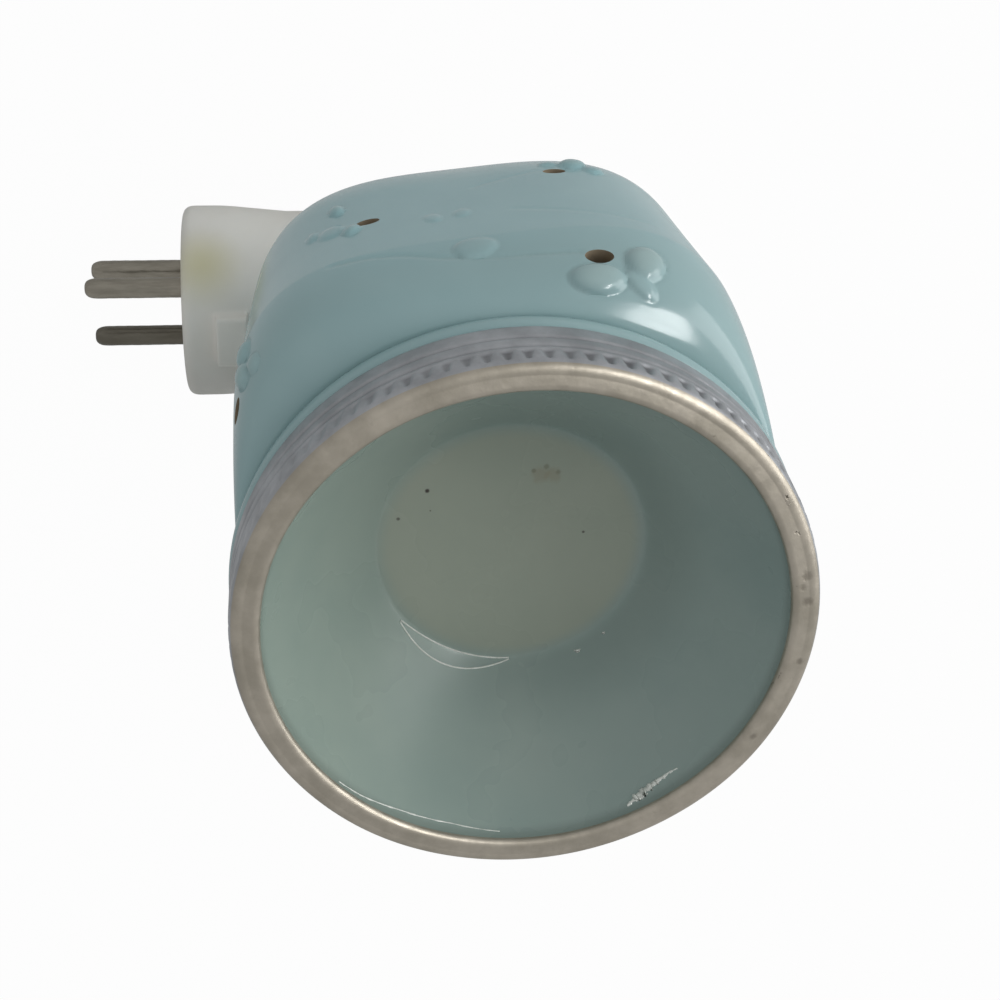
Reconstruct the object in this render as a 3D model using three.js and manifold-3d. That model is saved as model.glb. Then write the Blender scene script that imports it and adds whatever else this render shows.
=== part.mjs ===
// Plug-in electric wax warmer: a ceramic jar and lift-off dish on an elbow lamp base with a swivel plug.
// Millimetres, +Z up. The origin is the centre of the plug's rear face and +Y points into the outlet.
import * as THREE from 'three';
import { mergeVertices } from 'three/addons/utils/BufferGeometryUtils.js';
import Module from 'manifold-3d';

// Gap left between pieces that touch
const GAP = 0.3;
// How far cutting tools reach past a face
const OVERRUN = 1;

// Overall places
const RIM_HEIGHT = 122;
const AXIS_TO_FACE = 54;

// Wax dish, shaped like a jar lid
const RIM_RADIUS = 43;
const RIM_WIDTH = 4.5;
const RIM_OVERHANG = 0.6;
const BOWL_LEAN = 4.5;
const BOWL_SWELL = 9;
const BAND_HEIGHT = 12;
const DISH_DEPTH = 25;
const DISH_FLOOR_RADIUS = 21;
const DISH_FLOOR = 3.4;
const GROOVE_DEPTH = 0.5;
const GROOVE_HALF_HEIGHT = 0.4;
const GROOVE_DROPS = [8.5, 6.9];

// Jar
const JAR_HALF_WIDTH = 48.7;
const JAR_SLIMMER = 1.4;
const JAR_SQUARENESS = 3.67;
const JAR_TURN = 7;
const JAR_WALL = 4.5;
const JAR_BOTTOM_SCALE = 0.89;
const JAR_ROUND_HEIGHT = 37;
const JAR_PAD_RADIUS = 21;
const SHOULDER_HEIGHT = 16;
const BEAD_HEIGHT = 3.9;
const BEAD_PROUD = 0.8;
const NECK_INSET = 0.6;
const NECK_WALL = 3.8;
const DISH_CLEARANCE = 0.5;

// Relief on the jar: turns round it in degrees and levels as shares of its height up to the neck
const LIGHT_HOLES = [
  { turn: -19.8, level: 0.911 },
  { turn: -18.4, level: 0.446 },
  { turn: 18.2, level: 0.616 },
  { turn: 52, level: 0.911 },
  { turn: 98, level: 0.528 },
  { turn: 146, level: 0.791 },
  { turn: 208, level: 0.576 },
  { turn: 268, level: 0.767 },
];
const LIGHT_HOLE_RADIUS = 1.75;
// Petals that show in the photograph, with half sizes along and up the skin
const PETALS = [
  { turn: -19.6, level: 0.962, length: 4.1, width: 2.7, spin: 0 },
  { turn: -27.6, level: 0.923, length: 3, width: 3.9, spin: 0 },
  { turn: 23.6, level: 0.519, length: 2.2, width: 3.4, spin: 10 },
  { turn: 20.9, level: 0.662, length: 2, width: 3.6, spin: -15 },
  { turn: 28.6, level: 0.592, length: 2.4, width: 3, spin: 0 },
  { turn: -22.6, level: 0.4, length: 2.4, width: 2.6, spin: 0 },
  { turn: -26, level: 0.43, length: 2, width: 2.2, spin: 20 },
  { turn: 45, level: 0.847, length: 2.2, width: 1.9, spin: 20 },
  { turn: 46.5, level: 0.895, length: 2, width: 2.4, spin: 0 },
];
// Whole flowers on the sides away from the camera
const FLOWERS = [
  { turn: 105, level: 0.564, spin: 35 },
  { turn: 153, level: 0.827, spin: 10 },
  { turn: 215, level: 0.612, spin: 60 },
  { turn: 275, level: 0.803, spin: 25 },
];
const FLOWER_RADIUS = 5;
const FLOWER_PETALS = 5;
const PETAL_HALF_LENGTH = 3.1;
const PETAL_HALF_WIDTH = 2.5;
const PETAL_RISE = 1.2;
const LEAVES = [
  { turn: 0.5, level: 0.851, spin: 20 },
  { turn: 122, level: 0.624, spin: 120 },
  { turn: 236, level: 0.719, spin: 50 },
];
const LEAF_HALF_LENGTH = 3.6;
const LEAF_HALF_WIDTH = 2.8;
const LEAF_RISE = 0.6;
const RELIEF_ROOT = 0.6;

// Elbow housing: the drum behind the pins and the neck under the jar
const DRUM_RADIUS = 18.6;
const DRUM_WALL = 2.3;
const DRUM_PAST_AXIS = 20;
const DRUM_EDGE = 2.2;
const DRUM_STRAIGHT = 8;
const WAIST_FROM_FACE = 20;
const DRUM_WAIST = 1.2;
const REAR_WALL = 2.6;
const NECK_BOSS_RADIUS = 19.4;
const NECK_ABOVE_DRUM = 2;
const SPINE_HALF_WIDTH = 5;
const SPINE_RISE = 2.2;
const SPINE_FROM_FACE = 6.5;
const SPINE_LENGTH = 6;
const SPINE_CHAMFER = 1;

// Swivel plug
const FLANGE_CLEARANCE = 0.4;
const FLANGE_LIP = 2.4;
const CARRIER_FLANGE = 2.5;
const SWIVEL_REST = 37.1;
const SWIVEL_TRAVEL = 90;
const STOP_TURN = 180;
const STOP_HALF_WIDTH = 8;
const STOP_MARGIN = 1.5;
const STOP_DEPTH = 1.9;
const PIN_RADIUS = 2;
const PIN_LENGTH = 18.6;
const PIN_HALF_SPACING = 9.5;
const PIN_RISE = 2.4;
const EARTH_DROP = 9.5;
const PIN_TIP_ROUND = 1.6;
const TRACK_ANGLE = 60;
const TRACK_HALF_WIDTH = 1.5;
const TRACK_THICKNESS = 0.8;
const WASHER_WAVE = 0.9;
const WASHER_WAVES = 3;
const WASHER_THICKNESS = 0.5;
const WASHER_EDGE = 0.5;
const WASHER_WIDTH = 2;
const BOARD_THICKNESS = 2;
const BRUSH_HEAD_RADIUS = 1.4;
const BRUSH_STEM_RADIUS = 0.9;
const BRUSH_TAIL = 3;
const RING_THICKNESS = 1.2;
const RING_WIDTH = 2.8;
const RING_BITE = 0.5;
const RING_SPLIT = 30;
const LEAD_RADIUS = 1.1;
const LEAD_STRAIGHT = 0.12;
const LEAD_DROP = 0.4;
const LEAD_LEVEL = 0.75;

// Lampholder and what clamps the jar
const GASKET = 1.2;
const CLAMP_RADIUS = 20.5;
const HOLDER_RADIUS = 13.9;
const HOLDER_FOOT_RADIUS = 10.5;
const HOLDER_FOOT_TOP = 3;
const HOLDER_BOTTOM = -6;
const SOCKET_FLOOR = 11;
const SHELL_WALL = 0.7;
const FIBRE_WASHER = 0.8;
const NUT_HEIGHT = 4.5;
const NUT_LOBES = 8;
const NUT_LOBE_DEPTH = 0.8;
const COLLAR_ABOVE_NUT = 1.2;
const COLLAR_CHAMFER = 1;
const CONTACT_STEM_RADIUS = 1;
const CONTACT_HEAD_RADIUS = 3;
const CONTACT_HEAD = 1;
const CONTACT_TAIL = 2;
const NECK_SCREW_RADIUS = 1.3;
const NECK_SCREW_DROP = 7.6;
const NECK_SCREW_BITE = 2.5;

// Lamp
const CAP_RADIUS = 6.8;
const CAP_WALL = 0.5;
const CAP_LENGTH = 19;
const INSULATOR_HEIGHT = 2;
const TIP_RADIUS = 2.2;
const TIP_HEIGHT = 0.8;
const GLASS_RADIUS = 13;
const GLASS_LENGTH = 40;
const GLASS_WALL = 0.9;
const GLASS_IN_CAP = 8;
const GLASS_STEP = 1;
const GLASS_SHOULDER = 0.35;
const STEM_HEIGHT = 18;
const STEM_FLARE = 2;
const STEM_TAPER = 5;
const STEM_SLIMMING = 3;
const FILAMENT_RADIUS = 0.35;
const FILAMENT_HALF_SPAN = 5;
const FILAMENT_RISE = 9;
const FILAMENT_FOOT = 1;
const FILAMENT_ARCH = 1.5;

// Front cap and its screws
const CAP_PLATE = 2.5;
const CAP_CHAMFER = 1;
const CAP_SPIGOT = 3.5;
const SCREW_ANGLE = 130.6;
const SCREW_FROM_BORE = 2.47;
const SCREW_SHANK_RADIUS = 1.3;
const SCREW_HEAD_RADIUS = 2.6;
const SCREW_HEAD_HEIGHT = 1.6;
const SCREW_CROWN = 0.7;
const SCREW_LENGTH = 13;
const SCREW_POINT = 1;
const SCREW_BOSS_RADIUS = 2.9;
const SCREW_BOSS_WEB = 1.5;

// Facets
const ROUND_SIDES = 24;
const SMALL_SIDES = 12;
const HOLE_SIDES = 10;
const PIN_SIDES = 14;
const GLASS_SIDES = 16;
const WIRE_SIDES = 7;
const JAR_SIDES = 48;
const DISH_SIDES = 42;
const DOME_SIDES = 7;
const DOME_STEPS = 4;
const WASHER_STEPS = 30;
const LEAD_STEPS = 16;
const FILAMENT_SIDES = 5;
const FILAMENT_STEPS = 18;
const NUT_LOBE_STEPS = 6;
const JAR_TOLERANCE = 0.06;

// Sizes worked out from the ones above
const bandRadius = RIM_RADIUS - RIM_OVERHANG;
const beadRadius = bandRadius + BEAD_PROUD;
const neckRadius = bandRadius - NECK_INSET;
const neckBore = neckRadius - NECK_WALL;
const jarHalfDepth = neckRadius - JAR_SLIMMER;
const neckTop = DRUM_RADIUS + NECK_ABOVE_DRUM;
const jarBottom = neckTop + GASKET + 2 * GAP;
const bandBottom = RIM_HEIGHT - BAND_HEIGHT;
const beadTop = bandBottom - GAP;
const neckBase = beadTop - BEAD_HEIGHT - jarBottom;
const shoulderStart = neckBase - SHOULDER_HEIGHT;
const jarHole = HOLDER_RADIUS + GAP;
const neckScrewHeight = neckTop - NECK_SCREW_DROP;
const drumLength = AXIS_TO_FACE + DRUM_PAST_AXIS;
const drumBore = DRUM_RADIUS - DRUM_WALL;
const waistRadius = DRUM_RADIUS - DRUM_WAIST;
const trackRadius = Math.hypot(PIN_HALF_SPACING, PIN_RISE);
const pinTurn = THREE.MathUtils.radToDeg(Math.atan2(PIN_HALF_SPACING, PIN_RISE));
const flangeRadius = drumBore - FLANGE_CLEARANCE;
const carrierRadius = flangeRadius - FLANGE_LIP;
const washerOuter = flangeRadius - WASHER_EDGE;
const washerInner = washerOuter - WASHER_WIDTH;
const flangeRear = -REAR_WALL - GAP;
const flangeFront = flangeRear - CARRIER_FLANGE;
const trackRear = flangeFront - GAP;
const trackFront = trackRear - TRACK_THICKNESS;
const washerHeight = 2 * WASHER_WAVE + WASHER_THICKNESS;
const boardRear = flangeFront - 2 * GAP - washerHeight;
const boardFront = boardRear - BOARD_THICKNESS;
const ringRear = boardFront - GAP;
const ringFront = ringRear - RING_THICKNESS;
const pinHole = PIN_RADIUS + GAP;
const brushEnd = boardFront - BRUSH_TAIL;
const floorTop = jarBottom + JAR_WALL;
const washerBottom = floorTop + GAP;
const nutBottom = washerBottom + FIBRE_WASHER + GAP;
const nutTop = nutBottom + NUT_HEIGHT;
const holderTop = nutTop + COLLAR_ABOVE_NUT;
const shellInner = CAP_RADIUS + GAP;
const shellOuter = shellInner + SHELL_WALL;
const shellBottom = SOCKET_FLOOR + GAP;
const contactHeadTop = SOCKET_FLOOR + GAP + CONTACT_HEAD;
const tipBottom = contactHeadTop + GAP;
const insulatorBottom = tipBottom + TIP_HEIGHT + GAP;
const capBottom = insulatorBottom + INSULATOR_HEIGHT + GAP;
const capTop = capBottom + CAP_LENGTH;
const glassNeck = CAP_RADIUS - CAP_WALL - GAP;
const glassBottom = capTop - GLASS_IN_CAP;
const sideContactPlace = (shellInner + shellOuter) / 2;

const wasm = await Module();
wasm.setup();

// Solids from three.js geometry and back
function solid(geometry) {
  const bare = geometry.index ? geometry.toNonIndexed() : geometry.clone();
  for (const name of Object.keys(bare.attributes)) {
    if (name !== 'position') bare.deleteAttribute(name);
  }
  const welded = mergeVertices(bare, 1e-4);
  const corners = [];
  for (let i = 0; i < welded.index.count; i += 3) {
    const [a, b, c] = [0, 1, 2].map((k) => welded.index.getX(i + k));
    if (a !== b && b !== c && c !== a) corners.push(a, b, c);
  }
  return new wasm.Manifold(new wasm.Mesh({
    numProp: 3,
    vertProperties: new Float32Array(welded.attributes.position.array),
    triVerts: new Uint32Array(corners),
  }));
}

function geometryOf(body) {
  const mesh = body.getMesh();
  const geometry = new THREE.BufferGeometry();
  geometry.setAttribute('position', new THREE.BufferAttribute(mesh.vertProperties, 3));
  geometry.setIndex(new THREE.BufferAttribute(mesh.triVerts, 1));
  const faceted = geometry.toNonIndexed();
  faceted.computeVertexNormals();
  return faceted;
}

const join = (...bodies) => wasm.Manifold.union(bodies);
const cut = (body, ...tools) => wasm.Manifold.difference([body, ...tools]);

// Round shapes. A profile lists [radius, height] outward and up, from axis to axis or closed on itself
function turned(profile, sides = ROUND_SIDES) {
  return new THREE.LatheGeometry(profile.map(([r, h]) => new THREE.Vector2(r, h)), sides);
}

const turnedUp = (profile, sides) => solid(turned(profile, sides).rotateX(Math.PI / 2));
const turnedAlongY = (profile, sides) => solid(turned(profile, sides));

function rod(radius, low, high) {
  return [[0, low], [radius, low], [radius, high], [0, high]];
}

function tube(inner, outer, low, high) {
  return [[inner, low], [outer, low], [outer, high], [inner, high], [inner, low]];
}

function arcPoints(centreR, centreH, radius, fromDegrees, toDegrees, steps) {
  return Array.from({ length: steps + 1 }, (_, i) => {
    const angle = THREE.MathUtils.degToRad(fromDegrees + ((toDegrees - fromDegrees) * i) / steps);
    return [centreR + radius * Math.cos(angle), centreH + radius * Math.sin(angle)];
  });
}

function curvePoints(from, bend, to, steps) {
  const curve = new THREE.QuadraticBezierCurve(...[from, bend, to].map((p) => new THREE.Vector2(...p)));
  return curve.getPoints(steps).map((p) => [p.x, p.y]);
}

// A direction round the plug's axis: 0 is up and positive turns go towards +X
function aroundPlug(radius, degrees) {
  const angle = THREE.MathUtils.degToRad(degrees);
  return { x: radius * Math.sin(angle), z: radius * Math.cos(angle) };
}

function sector(inner, outer, from, to, low, thickness, steps = 14) {
  const outline = [];
  for (let i = 0; i <= steps; i += 1) {
    const p = aroundPlug(outer, from + ((to - from) * i) / steps);
    outline.push(new THREE.Vector2(p.x, -p.z));
  }
  for (let i = steps; i >= 0; i -= 1) {
    const p = aroundPlug(inner, from + ((to - from) * i) / steps);
    outline.push(new THREE.Vector2(p.x, -p.z));
  }
  const plate = new THREE.ExtrudeGeometry(new THREE.Shape(outline), { depth: thickness, bevelEnabled: false });
  return solid(plate.rotateX(-Math.PI / 2).translate(0, low, 0));
}

const alongY = (body, place) => body.translate([place.x, 0, place.z]);
const alongX = (profile, sides) => solid(turned(profile, sides).rotateZ(-Math.PI / 2));

// Wire along a smooth path
function wire(points, radius, sides, steps) {
  const path = new THREE.CatmullRomCurve3(points.map((p) => new THREE.Vector3(...p)));
  const section = new THREE.Shape(
    Array.from({ length: sides }, (_, i) => {
      const angle = (2 * Math.PI * i) / sides;
      return new THREE.Vector2(radius * Math.cos(angle), radius * Math.sin(angle));
    }),
  );
  return solid(new THREE.ExtrudeGeometry(section, { steps, extrudePath: path, bevelEnabled: false }));
}

// A closed skin through a loop of rings, each ring a list of points
function loftLoop(rings) {
  const sides = rings[0].length;
  const positions = rings.flat().flatMap((p) => [p.x, p.y, p.z]);
  const index = [];
  rings.forEach((_, i) => {
    const next = (i + 1) % rings.length;
    for (let j = 0; j < sides; j += 1) {
      const k = (j + 1) % sides;
      index.push(i * sides + j, i * sides + k, next * sides + k);
      index.push(i * sides + j, next * sides + k, next * sides + j);
    }
  });
  const geometry = new THREE.BufferGeometry();
  geometry.setAttribute('position', new THREE.Float32BufferAttribute(positions, 3));
  geometry.setIndex(index);
  return geometry;
}

// Jar: level outlines from round to rounded square
function wallOutline(height, inset) {
  const scale = JAR_BOTTOM_SCALE + ((1 - JAR_BOTTOM_SCALE) * height) / shoulderStart;
  return {
    height,
    width: JAR_HALF_WIDTH * scale - inset,
    depth: jarHalfDepth * scale - inset,
    squareness: JAR_SQUARENESS,
  };
}

const circleOutline = (radius, height) => ({ height, width: radius, depth: radius, squareness: 2 });

function blendOutline(round, square, share, height) {
  const mix = (a, b) => a + (b - a) * share;
  return {
    height,
    width: mix(round.width, square.width),
    depth: mix(round.depth, square.depth),
    squareness: mix(round.squareness, square.squareness),
  };
}

function outlineRadius(outline, angle) {
  const across = Math.abs(Math.cos(angle)) / outline.width;
  const along = Math.abs(Math.sin(angle)) / outline.depth;
  return (across ** outline.squareness + along ** outline.squareness) ** (-1 / outline.squareness);
}

function bottomOutline(angle, inset, floor) {
  const height = floor + (JAR_ROUND_HEIGHT - floor) * (1 - Math.cos(angle));
  return blendOutline(circleOutline(JAR_PAD_RADIUS, 0), wallOutline(height, inset), Math.sin(angle), height);
}

function shoulderOutline(angle, inset, neck) {
  const height = shoulderStart + SHOULDER_HEIGHT * Math.sin(angle);
  return blendOutline(circleOutline(neck, 0), wallOutline(shoulderStart, inset), Math.cos(angle), height);
}

function quarterTurns(steps) {
  return Array.from({ length: steps + 1 }, (_, i) => ((Math.PI / 2) * i) / steps);
}

function jarOutlines() {
  const beadMiddle = neckBase + BEAD_HEIGHT / 2;
  const beadEdge = BEAD_HEIGHT / 4;
  const outside = [
    circleOutline(jarHole, 0),
    ...quarterTurns(6).map((angle) => bottomOutline(angle, 0, 0)),
    ...quarterTurns(4).map((angle) => shoulderOutline(angle, 0, neckRadius)),
    circleOutline(beadRadius, beadMiddle - beadEdge),
    circleOutline(beadRadius, beadMiddle + beadEdge),
    circleOutline(bandRadius, neckBase + BEAD_HEIGHT),
  ];
  const inside = [
    circleOutline(neckBore, neckBase + BEAD_HEIGHT),
    ...quarterTurns(3).reverse().map((angle) => shoulderOutline(angle, JAR_WALL, neckBore)),
    ...quarterTurns(4).reverse().map((angle) => bottomOutline(angle, JAR_WALL, JAR_WALL)),
    circleOutline(jarHole, JAR_WALL),
  ];
  return [...outside, ...inside];
}

function ringPoints(outline) {
  return Array.from({ length: JAR_SIDES }, (_, j) => {
    const angle = (2 * Math.PI * j) / JAR_SIDES;
    const radius = outlineRadius(outline, angle);
    return new THREE.Vector3(radius * Math.cos(angle), radius * Math.sin(angle), outline.height);
  });
}

// The jar's outer skin at a turn and height, with its outward normal
function outerOutline(height) {
  if (height < JAR_ROUND_HEIGHT) return bottomOutline(Math.acos(1 - height / JAR_ROUND_HEIGHT), 0, 0);
  if (height < shoulderStart) return wallOutline(height, 0);
  return shoulderOutline(Math.asin((height - shoulderStart) / SHOULDER_HEIGHT), 0, neckRadius);
}

function skinPoint(angle, height) {
  const radius = outlineRadius(outerOutline(height), angle);
  return new THREE.Vector3(radius * Math.cos(angle), radius * Math.sin(angle), height);
}

function skinFrame(angle, height) {
  const step = 0.01;
  const place = skinPoint(angle, height);
  const along = skinPoint(angle + step, height).sub(skinPoint(angle - step, height)).normalize();
  const up = skinPoint(angle, height + step).sub(skinPoint(angle, height - step)).normalize();
  const normal = along.clone().cross(up).normalize();
  return new THREE.Matrix4().makeBasis(along, normal.clone().cross(along), normal).setPosition(place);
}

const placeFrame = (place) => skinFrame(THREE.MathUtils.degToRad(place.turn), place.level * neckBase);

// A smooth raised pebble on the jar's skin
function reliefDome(place, length, width, rise) {
  const dome = new THREE.SphereGeometry(1, DOME_SIDES, DOME_STEPS).rotateX(Math.PI / 2);
  dome.scale(length, width, rise + RELIEF_ROOT).rotateZ(THREE.MathUtils.degToRad(place.spin));
  dome.translate(0, 0, -RELIEF_ROOT);
  return solid(dome.applyMatrix4(placeFrame(place)));
}

function flowerDomes(flower) {
  const reach = outlineRadius(outerOutline(flower.level * neckBase), THREE.MathUtils.degToRad(flower.turn));
  return Array.from({ length: FLOWER_PETALS }, (_, i) => {
    const spin = flower.spin + (360 * i) / FLOWER_PETALS;
    const angle = THREE.MathUtils.degToRad(spin);
    const aside = THREE.MathUtils.radToDeg((FLOWER_RADIUS * Math.cos(angle)) / reach);
    const above = (FLOWER_RADIUS * Math.sin(angle)) / neckBase;
    const place = { turn: flower.turn + aside, level: flower.level + above, spin };
    return reliefDome(place, PETAL_HALF_LENGTH, PETAL_HALF_WIDTH, PETAL_RISE);
  });
}

function lightHole(place) {
  const drill = new THREE.CylinderGeometry(LIGHT_HOLE_RADIUS, LIGHT_HOLE_RADIUS, 4 * JAR_WALL, HOLE_SIDES);
  return solid(drill.rotateX(Math.PI / 2).applyMatrix4(placeFrame(place)));
}

function jarBody() {
  const skin = solid(loftLoop(jarOutlines().map(ringPoints)));
  const petals = PETALS.map((petal) => reliefDome(petal, petal.length, petal.width, PETAL_RISE));
  const leaves = LEAVES.map((leaf) => reliefDome(leaf, LEAF_HALF_LENGTH, LEAF_HALF_WIDTH, LEAF_RISE));
  const raised = join(skin, ...petals, ...leaves, ...FLOWERS.flatMap(flowerDomes));
  return cut(raised, ...LIGHT_HOLES.map(lightHole)).simplify(JAR_TOLERANCE);
}

// Dish with its lid band, rolled rim and bowl
function waxDish() {
  const top = RIM_HEIGHT;
  const rimInner = RIM_RADIUS - RIM_WIDTH;
  const rimRise = RIM_WIDTH / 4;
  const floor = top - DISH_DEPTH;
  const underside = floor - DISH_FLOOR;
  const seatRadius = neckBore - DISH_CLEARANCE;
  const grooves = GROOVE_DROPS.flatMap((drop) => [
    [bandRadius, top - drop - GROOVE_HALF_HEIGHT],
    [bandRadius - GROOVE_DEPTH, top - drop],
    [bandRadius, top - drop + GROOVE_HALF_HEIGHT],
  ]);
  return turnedUp([
    [0, underside],
    ...curvePoints([DISH_FLOOR_RADIUS, underside], [seatRadius - BOWL_LEAN, floor], [seatRadius, bandBottom], 5),
    [bandRadius, bandBottom],
    ...grooves,
    [bandRadius, top - 2 * rimRise],
    [RIM_RADIUS, top - rimRise],
    ...curvePoints([RIM_RADIUS - rimRise / 3, top - rimRise / 3], [RIM_RADIUS - RIM_WIDTH / 2, top + rimRise / 3],
      [rimInner + rimRise / 3, top - rimRise / 3], 4),
    ...curvePoints([rimInner, top - rimRise], [rimInner - BOWL_LEAN, floor + BOWL_SWELL],
      [DISH_FLOOR_RADIUS, floor], 6),
    [0, floor],
  ], DISH_SIDES);
}

// Elbow housing: drum along Y, neck boss under the jar and the raised spine block
function spineBlock() {
  const foot = DRUM_RADIUS / 2;
  const crest = DRUM_RADIUS + SPINE_RISE;
  const section = new THREE.Shape([
    new THREE.Vector2(-SPINE_HALF_WIDTH, foot),
    new THREE.Vector2(SPINE_HALF_WIDTH, foot),
    new THREE.Vector2(SPINE_HALF_WIDTH, crest - SPINE_CHAMFER),
    new THREE.Vector2(SPINE_HALF_WIDTH - SPINE_CHAMFER, crest),
    new THREE.Vector2(-SPINE_HALF_WIDTH + SPINE_CHAMFER, crest),
    new THREE.Vector2(-SPINE_HALF_WIDTH, crest - SPINE_CHAMFER),
  ]);
  const bar = new THREE.ExtrudeGeometry(section, { depth: SPINE_LENGTH, bevelEnabled: false });
  return solid(bar.rotateX(Math.PI / 2).translate(0, -SPINE_FROM_FACE, 0));
}

function screwPlaces() {
  return [-SCREW_ANGLE, SCREW_ANGLE].map((turn) => aroundPlug(drumBore - SCREW_FROM_BORE, turn));
}

function elbowHousing() {
  const edge = arcPoints(DRUM_RADIUS - DRUM_EDGE, -DRUM_EDGE, DRUM_EDGE, 0, 90, 4);
  const drum = turnedAlongY([
    [0, -drumLength],
    [waistRadius, -drumLength],
    [waistRadius, -WAIST_FROM_FACE],
    [DRUM_RADIUS, -DRUM_STRAIGHT],
    ...edge,
    [0, 0],
  ]);
  const boss = turnedUp(rod(NECK_BOSS_RADIUS, 0, neckTop)).translate([0, -AXIS_TO_FACE, 0]);
  const grooveRadius = drumBore + RING_BITE + GAP;
  const bore = turnedAlongY([
    [0, -drumLength - OVERRUN],
    [drumBore, -drumLength - OVERRUN],
    [drumBore, ringFront - GAP],
    [grooveRadius, ringFront - GAP],
    [grooveRadius, ringRear + GAP],
    [drumBore, ringRear + GAP],
    [drumBore, -REAR_WALL],
    [carrierRadius + GAP, -REAR_WALL],
    [carrierRadius + GAP, OVERRUN],
    [0, OVERRUN],
  ]);
  const throat = turnedUp(rod(jarHole, 0, neckTop + OVERRUN)).translate([0, -AXIS_TO_FACE, 0]);
  const screwBore = alongX(rod(NECK_SCREW_RADIUS + GAP, -2 * DRUM_RADIUS, 2 * DRUM_RADIUS), SMALL_SIDES)
    .translate([0, -AXIS_TO_FACE, neckScrewHeight]);
  const shell = cut(join(drum, boss, spineBlock()), bore, throat, screwBore);
  const stopInner = drumBore - STOP_DEPTH;
  const stop = sector(stopInner, drumBore + DRUM_WALL / 2, STOP_TURN - STOP_HALF_WIDTH,
    STOP_TURN + STOP_HALF_WIDTH, flangeFront, -REAR_WALL / 2 - flangeFront, 4);
  const bossFront = -drumLength + CAP_SPIGOT + 2 * GAP;
  const bossRear = bossFront + SCREW_LENGTH;
  const posts = screwPlaces().map((place) => {
    const post = turnedAlongY(rod(SCREW_BOSS_RADIUS, bossFront, bossRear), PIN_SIDES);
    const web = post.translate([Math.sign(place.x) * SCREW_BOSS_WEB, 0, -SCREW_BOSS_WEB]);
    return alongY(join(post, web), place);
  });
  const drumSolid = turnedAlongY(rod((drumBore + waistRadius) / 2, bossFront, bossRear));
  const pilots = screwPlaces().map((place) => {
    return alongY(turnedAlongY(rod(SCREW_SHANK_RADIUS + GAP, bossFront - OVERRUN, bossRear - SCREW_BOSS_WEB), SMALL_SIDES), place);
  });
  const innerPosts = wasm.Manifold.intersection([join(...posts), drumSolid]);
  return cut(join(shell, stop, innerPosts), ...pilots);
}

function frontCap() {
  const joint = -drumLength - GAP;
  const outside = joint - CAP_PLATE;
  const spigot = drumBore - GAP;
  const plate = turnedAlongY([
    [0, outside],
    [waistRadius - CAP_CHAMFER, outside],
    [waistRadius, outside + CAP_CHAMFER],
    [waistRadius, joint],
    [spigot, joint],
    [spigot, -drumLength + CAP_SPIGOT],
    [spigot - DRUM_WALL, -drumLength + CAP_SPIGOT],
    [spigot - DRUM_WALL, joint],
    [0, joint],
  ]);
  const holes = screwPlaces().map((place) => {
    return alongY(turnedAlongY(rod(SCREW_SHANK_RADIUS + GAP, outside - OVERRUN, 0), SMALL_SIDES), place);
  });
  return cut(plate, ...holes);
}

function capScrew(place) {
  const seat = -drumLength - GAP - CAP_PLATE - GAP;
  const head = seat - SCREW_HEAD_HEIGHT;
  const screw = turnedAlongY([
    [0, head],
    [SCREW_HEAD_RADIUS * SCREW_CROWN, head],
    [SCREW_HEAD_RADIUS, head + SCREW_HEAD_HEIGHT / 2],
    [SCREW_HEAD_RADIUS, seat],
    [SCREW_SHANK_RADIUS, seat],
    [SCREW_SHANK_RADIUS, seat + SCREW_LENGTH],
    [0, seat + SCREW_LENGTH + SCREW_POINT],
  ], SMALL_SIDES);
  return alongY(screw, place);
}

// Swivel plug, drawn with the line and neutral pins level and the earth pin under them
function pinPlaces() {
  return {
    line: { x: PIN_HALF_SPACING, z: PIN_RISE },
    neutral: { x: -PIN_HALF_SPACING, z: PIN_RISE },
    earth: { x: 0, z: PIN_RISE - EARTH_DROP },
  };
}

function pinCarrier() {
  const disc = turnedAlongY([
    [0, flangeFront],
    [flangeRadius, flangeFront],
    [flangeRadius, flangeRear],
    [carrierRadius, flangeRear],
    [carrierRadius, 0],
    [0, 0],
  ]);
  const notchFrom = STOP_TURN - STOP_HALF_WIDTH - STOP_MARGIN;
  const notchTo = STOP_TURN + STOP_HALF_WIDTH + SWIVEL_TRAVEL + STOP_MARGIN;
  const notchInner = drumBore - STOP_DEPTH - GAP;
  const notch = sector(notchInner, drumBore, notchFrom, notchTo, flangeFront - OVERRUN, CARRIER_FLANGE + OVERRUN + GAP / 2);
  const holes = Object.values(pinPlaces()).map((place) => {
    return alongY(turnedAlongY(rod(pinHole, flangeFront - OVERRUN, OVERRUN), PIN_SIDES), place);
  });
  return cut(disc, notch, ...holes);
}

function pin(place) {
  const tip = arcPoints(PIN_RADIUS - PIN_TIP_ROUND, PIN_LENGTH - PIN_TIP_ROUND, PIN_TIP_ROUND, 0, 90, 4);
  return alongY(turnedAlongY([[0, flangeFront], [PIN_RADIUS, flangeFront], ...tip, [0, PIN_LENGTH]], PIN_SIDES), place);
}

function track(turn) {
  const inner = trackRadius - TRACK_HALF_WIDTH;
  const outer = trackRadius + TRACK_HALF_WIDTH;
  return sector(inner, outer, turn - TRACK_ANGLE, turn + TRACK_ANGLE, trackFront, TRACK_THICKNESS);
}

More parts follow.
